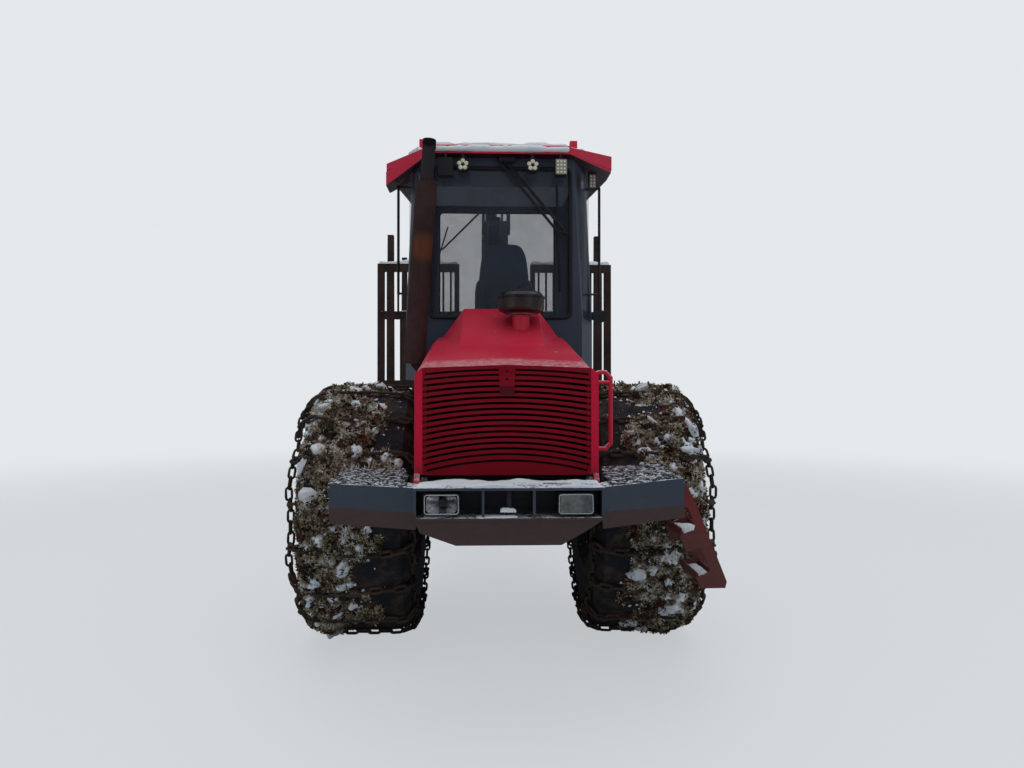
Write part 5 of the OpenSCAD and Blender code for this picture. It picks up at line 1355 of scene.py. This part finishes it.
def fit_wipers():
    """Twin-arm wiper with its motor inside the windscreen's top, and one on the rear window."""
    meshes = []
    for start, end in ARMS_PX:
        top, foot = glass_point(start, 0.07), glass_point(end, ARM_S)
        meshes.append(tube_mesh([top, top.lerp(foot, 0.5) - Vector((0, 0.012, 0)), foot], ARM_RADIUS, 8))
    meshes.append(tube_mesh([glass_point(end, ARM_S) for _, end in ARMS_PX], ARM_RADIUS, 8))
    upper, lower = (glass_point(pixel, BLADE_S) for pixel in BLADE_PX)
    middle = upper.lerp(lower, 0.5)
    meshes.append(tube_mesh([upper, middle, lower], 0.011, 4))
    bridge = [upper - Vector((0, 0.014, 0)), middle - Vector((0, 0.024, 0)), lower - Vector((0, 0.014, 0))]
    meshes.append(tube_mesh(bridge, 0.005, 6))
    meshes.append(tube_mesh([glass_point(PIVOT_PX, 0.05), glass_point(PIVOT_PX, 0.098)], 0.014, 10))
    motor = glass_point(MOTOR_PX, 0.06)
    meshes.append(tube_mesh([motor + Vector((x, 0, 0.01)) for x in (-0.03, 0.08)], 0.028, 12))
    fit("front_wiper", meshes, trim_black, "front")
    top, foot = (glass_point(pixel, REAR_ARM_S) for pixel in REAR_ARM_PX)
    blade = [foot + Vector((-0.06, 0, -0.16)), foot + Vector((0.05, 0, 0.2))]
    fit("rear_wiper", [tube_mesh([top, foot], 0.008, 6), tube_mesh(blade, 0.007, 6)], trim_black, "front")


def seal_path(low_x, high_x, low_z, high_z, bend, s):
    """Closed path round an opening in the plane s behind the front axle, with rounded corners."""
    points = []
    for cx, cz, start in ((high_x - bend, high_z - bend, 0), (low_x + bend, high_z - bend, 90),
                          (low_x + bend, low_z + bend, 180), (high_x - bend, low_z + bend, 270)):
        for k in range(7):
            turn = math.radians(start + 15 * k)
            points.append(at(cx + bend * math.cos(turn), s, cz + bend * math.sin(turn)))
    return points


def fit_window_seals():
    """Rubber round the windscreen and the rear window."""
    paths = [seal_path(-0.49, 0.49, 2.11, 3.15, 0.04, 0.098),
             seal_path(-0.505, 0.505, 2.25, 3.15, 0.04, 1.452)]
    fit("window_seals", [tube_mesh(path, 0.013, 8, closed=True) for path in paths], trim_black, "front")


def fit_liner():
    """Grey lining under the roof, inside the cab."""
    liner = soft_black("ceiling_liner", (0.3, 0.33, 0.39), 0.8, 90, 0.0)
    plates = [box_mesh(at(-half, front, 3.19), at(half, back, CEILING))
              for half, front, back in ((0.45, 0.16, 0.6), (0.57, 0.6, 1.39))]
    fit("ceiling_liner", plates, liner, "front", FLAT)


def fit_roof_rail():
    """Red rail that joins the tops of the two posts on the roof."""
    rail = box_mesh(at(-0.562, RAIL_FROM, 3.488), at(0.562, RAIL_TO, 3.515))
    fit("roof_rail", [rail], body_red, "front", FLAT)


LAMP_RING = [(0.041, 0.0), (0.043, -0.006), (0.047, -0.006), (0.048, 0.004), (0.048, 0.05), (0.041, 0.05)]


def lamp_eyes(centre, places, radius):
    """Round raised LED eyes on a lamp's face."""
    profile = [(0, -0.004), (radius * 0.7, -0.003), (radius, 0.0), (radius, 0.004), (0, 0.004)]
    return [turned_mesh(profile, 12, "Y", centre + Vector((x, 0, z))) for x, z in places]


def eye_grid(columns, wide, high):
    """Places of eyes in columns of four."""
    return [(x * wide, z * high) for x in columns for z in (-1.5, -0.5, 0.5, 1.5)]


def fit_work_lamps():
    """Glass faces and LED eyes of the lamps under the roof's front edge and its left end."""
    eye_yellow = two_toned("led_eyes", (0.75, 0.72, 0.5), (0.9, 0.9, 0.75), 90, 0.15)
    cream = two_toned("lamp_face", (0.24, 0.23, 0.19), (0.4, 0.38, 0.32), 60, 0.4)
    rings, eyes = [], []
    for x in (-0.257, 0.216):
        centre = at(x, LAMP_S, 3.13)
        rings.append(turned_mesh(LAMP_RING, 32, "Y", centre))
        five = [(0.0255 * math.sin(turn), 0.0255 * math.cos(turn)) for turn in turns(5)]
        eyes += lamp_eyes(centre, five, 0.0146)
    # Oblong lamp beside them, and the small upright one hung under the left end of the roof
    centre = at(0.41, LAMP_S, 3.12)
    faces = [box_mesh(centre + Vector((-0.038, -0.002, -0.051)), centre + Vector((0.038, 0.004, 0.051))),
             box_mesh(at(0.672, 0.443, 3.11), at(0.718, 0.449, 3.212))]
    eyes += lamp_eyes(centre, eye_grid((-1, 0, 1), 0.0225, 0.024), 0.0095)
    rings.append(box_mesh(at(0.668, 0.447, 3.1), at(0.722, 0.5, 3.2205)))
    eyes += lamp_eyes(at(0.695, 0.444, 3.161), eye_grid((-1, 1), 0.0115, 0.0235), 0.0085)
    fit("work_lamp_faces", faces, cream, "front", FLAT)
    fit("work_lamp_rings", rings, trim_black, "front")
    fit("work_lamp_eyes", eyes, eye_yellow, "front")


# Snow

def snow_depth(x, y, deep, seed, gaps):
    """Depth of the snow at a place, less than nothing in a gap."""
    spot = Vector((x * 5 + seed, y * 5, seed))
    thin = gaps * max(0.0, noise.noise(spot * 0.9) + 0.1)
    return deep * (0.75 + 0.5 * noise.fractal(spot, 0.8, 2.0, 4)) - thin


def snow_patch(outline, base, deep, seed, cell, gaps=0.0):
    """Uneven snow on a level face: outline in plan, height of the face, and depth of the snow.

    cell is the size of its squares, and gaps is how much is missing in its thin places."""
    low = Vector((min(p[0] for p in outline), min(p[1] for p in outline)))
    high = Vector((max(p[0] for p in outline), max(p[1] for p in outline)))
    count_x, count_y = (max(2, int((high - low)[k] / cell)) for k in (0, 1))
    build = bmesh.new()
    grid = {}
    for i in range(count_x + 1):
        for k in range(count_y + 1):
            x, y = low.x + (high.x - low.x) * i / count_x, low.y + (high.y - low.y) * k / count_y
            grid[i, k] = (x, y, snow_depth(x, y, deep, seed, gaps), inside(outline, x, y))
    made = {}

    def vert(i, k, top):
        if (i, k, top) not in made:
            x, y, depth, _ = grid[i, k]
            near = [grid.get((i + a, k + b), (0, 0, 0, False))[3] for a in (-1, 0, 1) for b in (-1, 0, 1)]
            slope = min(1.0, max(0.25, sum(near) / 9 * 1.4 - 0.25))
            rise = max(0.0, depth) * slope if top else 0.0
            sideways = noise.noise(Vector((x * 20, y * 20, seed)))
            along = noise.noise(Vector((y * 20, x * 20, seed)))
            ragged = Vector((sideways, along, 0)) * 0.3 * cell
            made[i, k, top] = build.verts.new(at(x, y, base + rise) + ragged)
        return made[i, k, top]

    kept = {(i, k) for i in range(count_x) for k in range(count_y)
            if all(grid[i + a, k + b][3] and grid[i + a, k + b][2] > 0.004 for a in (0, 1) for b in (0, 1))}
    for i, k in kept:
        corners = [(i, k), (i + 1, k), (i + 1, k + 1), (i, k + 1)]
        build.faces.new([vert(a, b, True) for a, b in corners])
        build.faces.new([vert(a, b, False) for a, b in reversed(corners)])
        beside = ((i, k - 1), (i + 1, k), (i, k + 1), (i - 1, k))
        for (a, b), (c, d), other in zip(corners, corners[1:] + corners[:1], beside):
            if other not in kept:
                build.faces.new([vert(a, b, True), vert(a, b, False), vert(c, d, False), vert(c, d, True)])
    return mesh_from(build, outward=True)


def snow_bar(x0, x1, s0, s1, *more):
    """Snow on a level rectangle, from x0 to x1 and s0 to s1; the rest is as in a patch."""
    return snow_patch([(x0, s0), (x1, s0), (x1, s1), (x0, s1)], *more)


def snow_lip(start, end, radius, seed):
    """Rounded uneven edge of snow that hangs over along a line."""
    count = max(8, int((end - start).length / 0.012))
    points, widths = [], []
    for k in range(count + 1):
        spot = start.lerp(end, k / count)
        wave = noise.fractal(Vector((spot.x * 12, spot.y * 12, seed)), 0.8, 2.0, 3)
        points.append(spot + Vector((0, 0, 0.004 * wave)))
        widths.append(radius * (1 + 0.35 * wave) * (0.5 if k in (0, count) else 1.0))
    return tube_mesh(points, widths, 12)


def lay_snow():
    """Snow on each level face: after its outline come height, depth, seed, cell and gaps."""
    brow = [(-0.474, -0.006), (0.474, -0.006), (0.57, 0.12), (-0.57, 0.12)]
    roof = [(-0.57, 0.12), (0.57, 0.12), (0.65, 0.22), (0.65, 1.49), (-0.65, 1.49), (-0.65, 0.22)]
    patches = {
        "snow_on_roof": ("front", [
            snow_patch(roof, ROOF_TOP, 0.056, 1.0, 0.025),
            snow_patch(brow, ROOF_TOP, 0.016, 1.2, 0.02),
            snow_lip(at(-0.47, -0.01, 3.252), at(0.47, -0.01, 3.252), 0.02, 1.5),
            snow_bar(-0.56, 0.56, RAIL_FROM, RAIL_TO, 3.329, 0.035, 2.0, 0.016),
            snow_bar(-0.558, 0.558, RAIL_FROM, RAIL_TO, 3.514, 0.04, 9.0, 0.016)]),
        "snow_on_bumper": ("front", [
            snow_bar(-0.42, 0.42, -1.795, -1.6, 1.17, 0.024, 3.0, 0.016, 0.02),
            snow_bar(-0.4, 0.4, -1.798, -1.74, 1.035, 0.012, 5.0, 0.014, 0.02),
            snow_bar(-0.04, 0.03, -1.796, -1.75, 1.06, 0.03, 6.5, 0.009)]),
        "snow_on_gate": ("rear", [
            snow_bar(0.375, 1.21, 2.752, 2.808, 2.908, 0.045, 4.0, 0.014),
            snow_bar(-1.21, -0.375, 2.752, 2.808, 2.908, 0.045, 6.0, 0.014),
            snow_bar(-1.21, 1.21, 2.752, 2.808, 2.414, 0.018, 7.0, 0.014, 0.03)]),
        "snow_on_bunks": ("rear", [
            snow_bar(-1.08, 1.08, s - 0.065, s + 0.065, 1.449, 0.03, s, 0.022, 0.02)
            for s in (3.15, 4.6, 6.05)]),
        "snow_on_boxes": ("front", [
            snow_bar(x - 0.07, x + 0.07, 0.98, 1.41, 1.329, 0.012, seed, 0.014, 0.03)
            for x, seed in ((-0.68, 7.0), (0.68, 9.0))]),
        "snow_on_ladder": ("ladder", [
            snow_bar(x0, x1, -1.256, -0.944, z, 0.017, x0 + 3.0, 0.012, 0.02)
            for x0, x1, z in ((0.923, 1.037, 0.8565), (1.008, 1.097, 0.6215))]),
    }
    for name, (body, meshes) in patches.items():
        fit(name, meshes, snow_white, body, SOFT)


put_on_chains()
cake_wheels()
at_points, point_shapes = spots_recipe()
wheel_nuts(at_points, point_shapes)
expanded_metal(at_points, point_shapes)
fit_headlamps()
fit_radiator()
outer_slots()
torn_pipe()
fit_seat()
fit_pipes()
fit_wipers()
fit_window_seals()
fit_liner()
fit_work_lamps()
fit_roof_rail()
lay_snow()
place_camera()
light_studio()
lay_floor()
bpy.context.scene.view_settings.view_transform = "Standard"
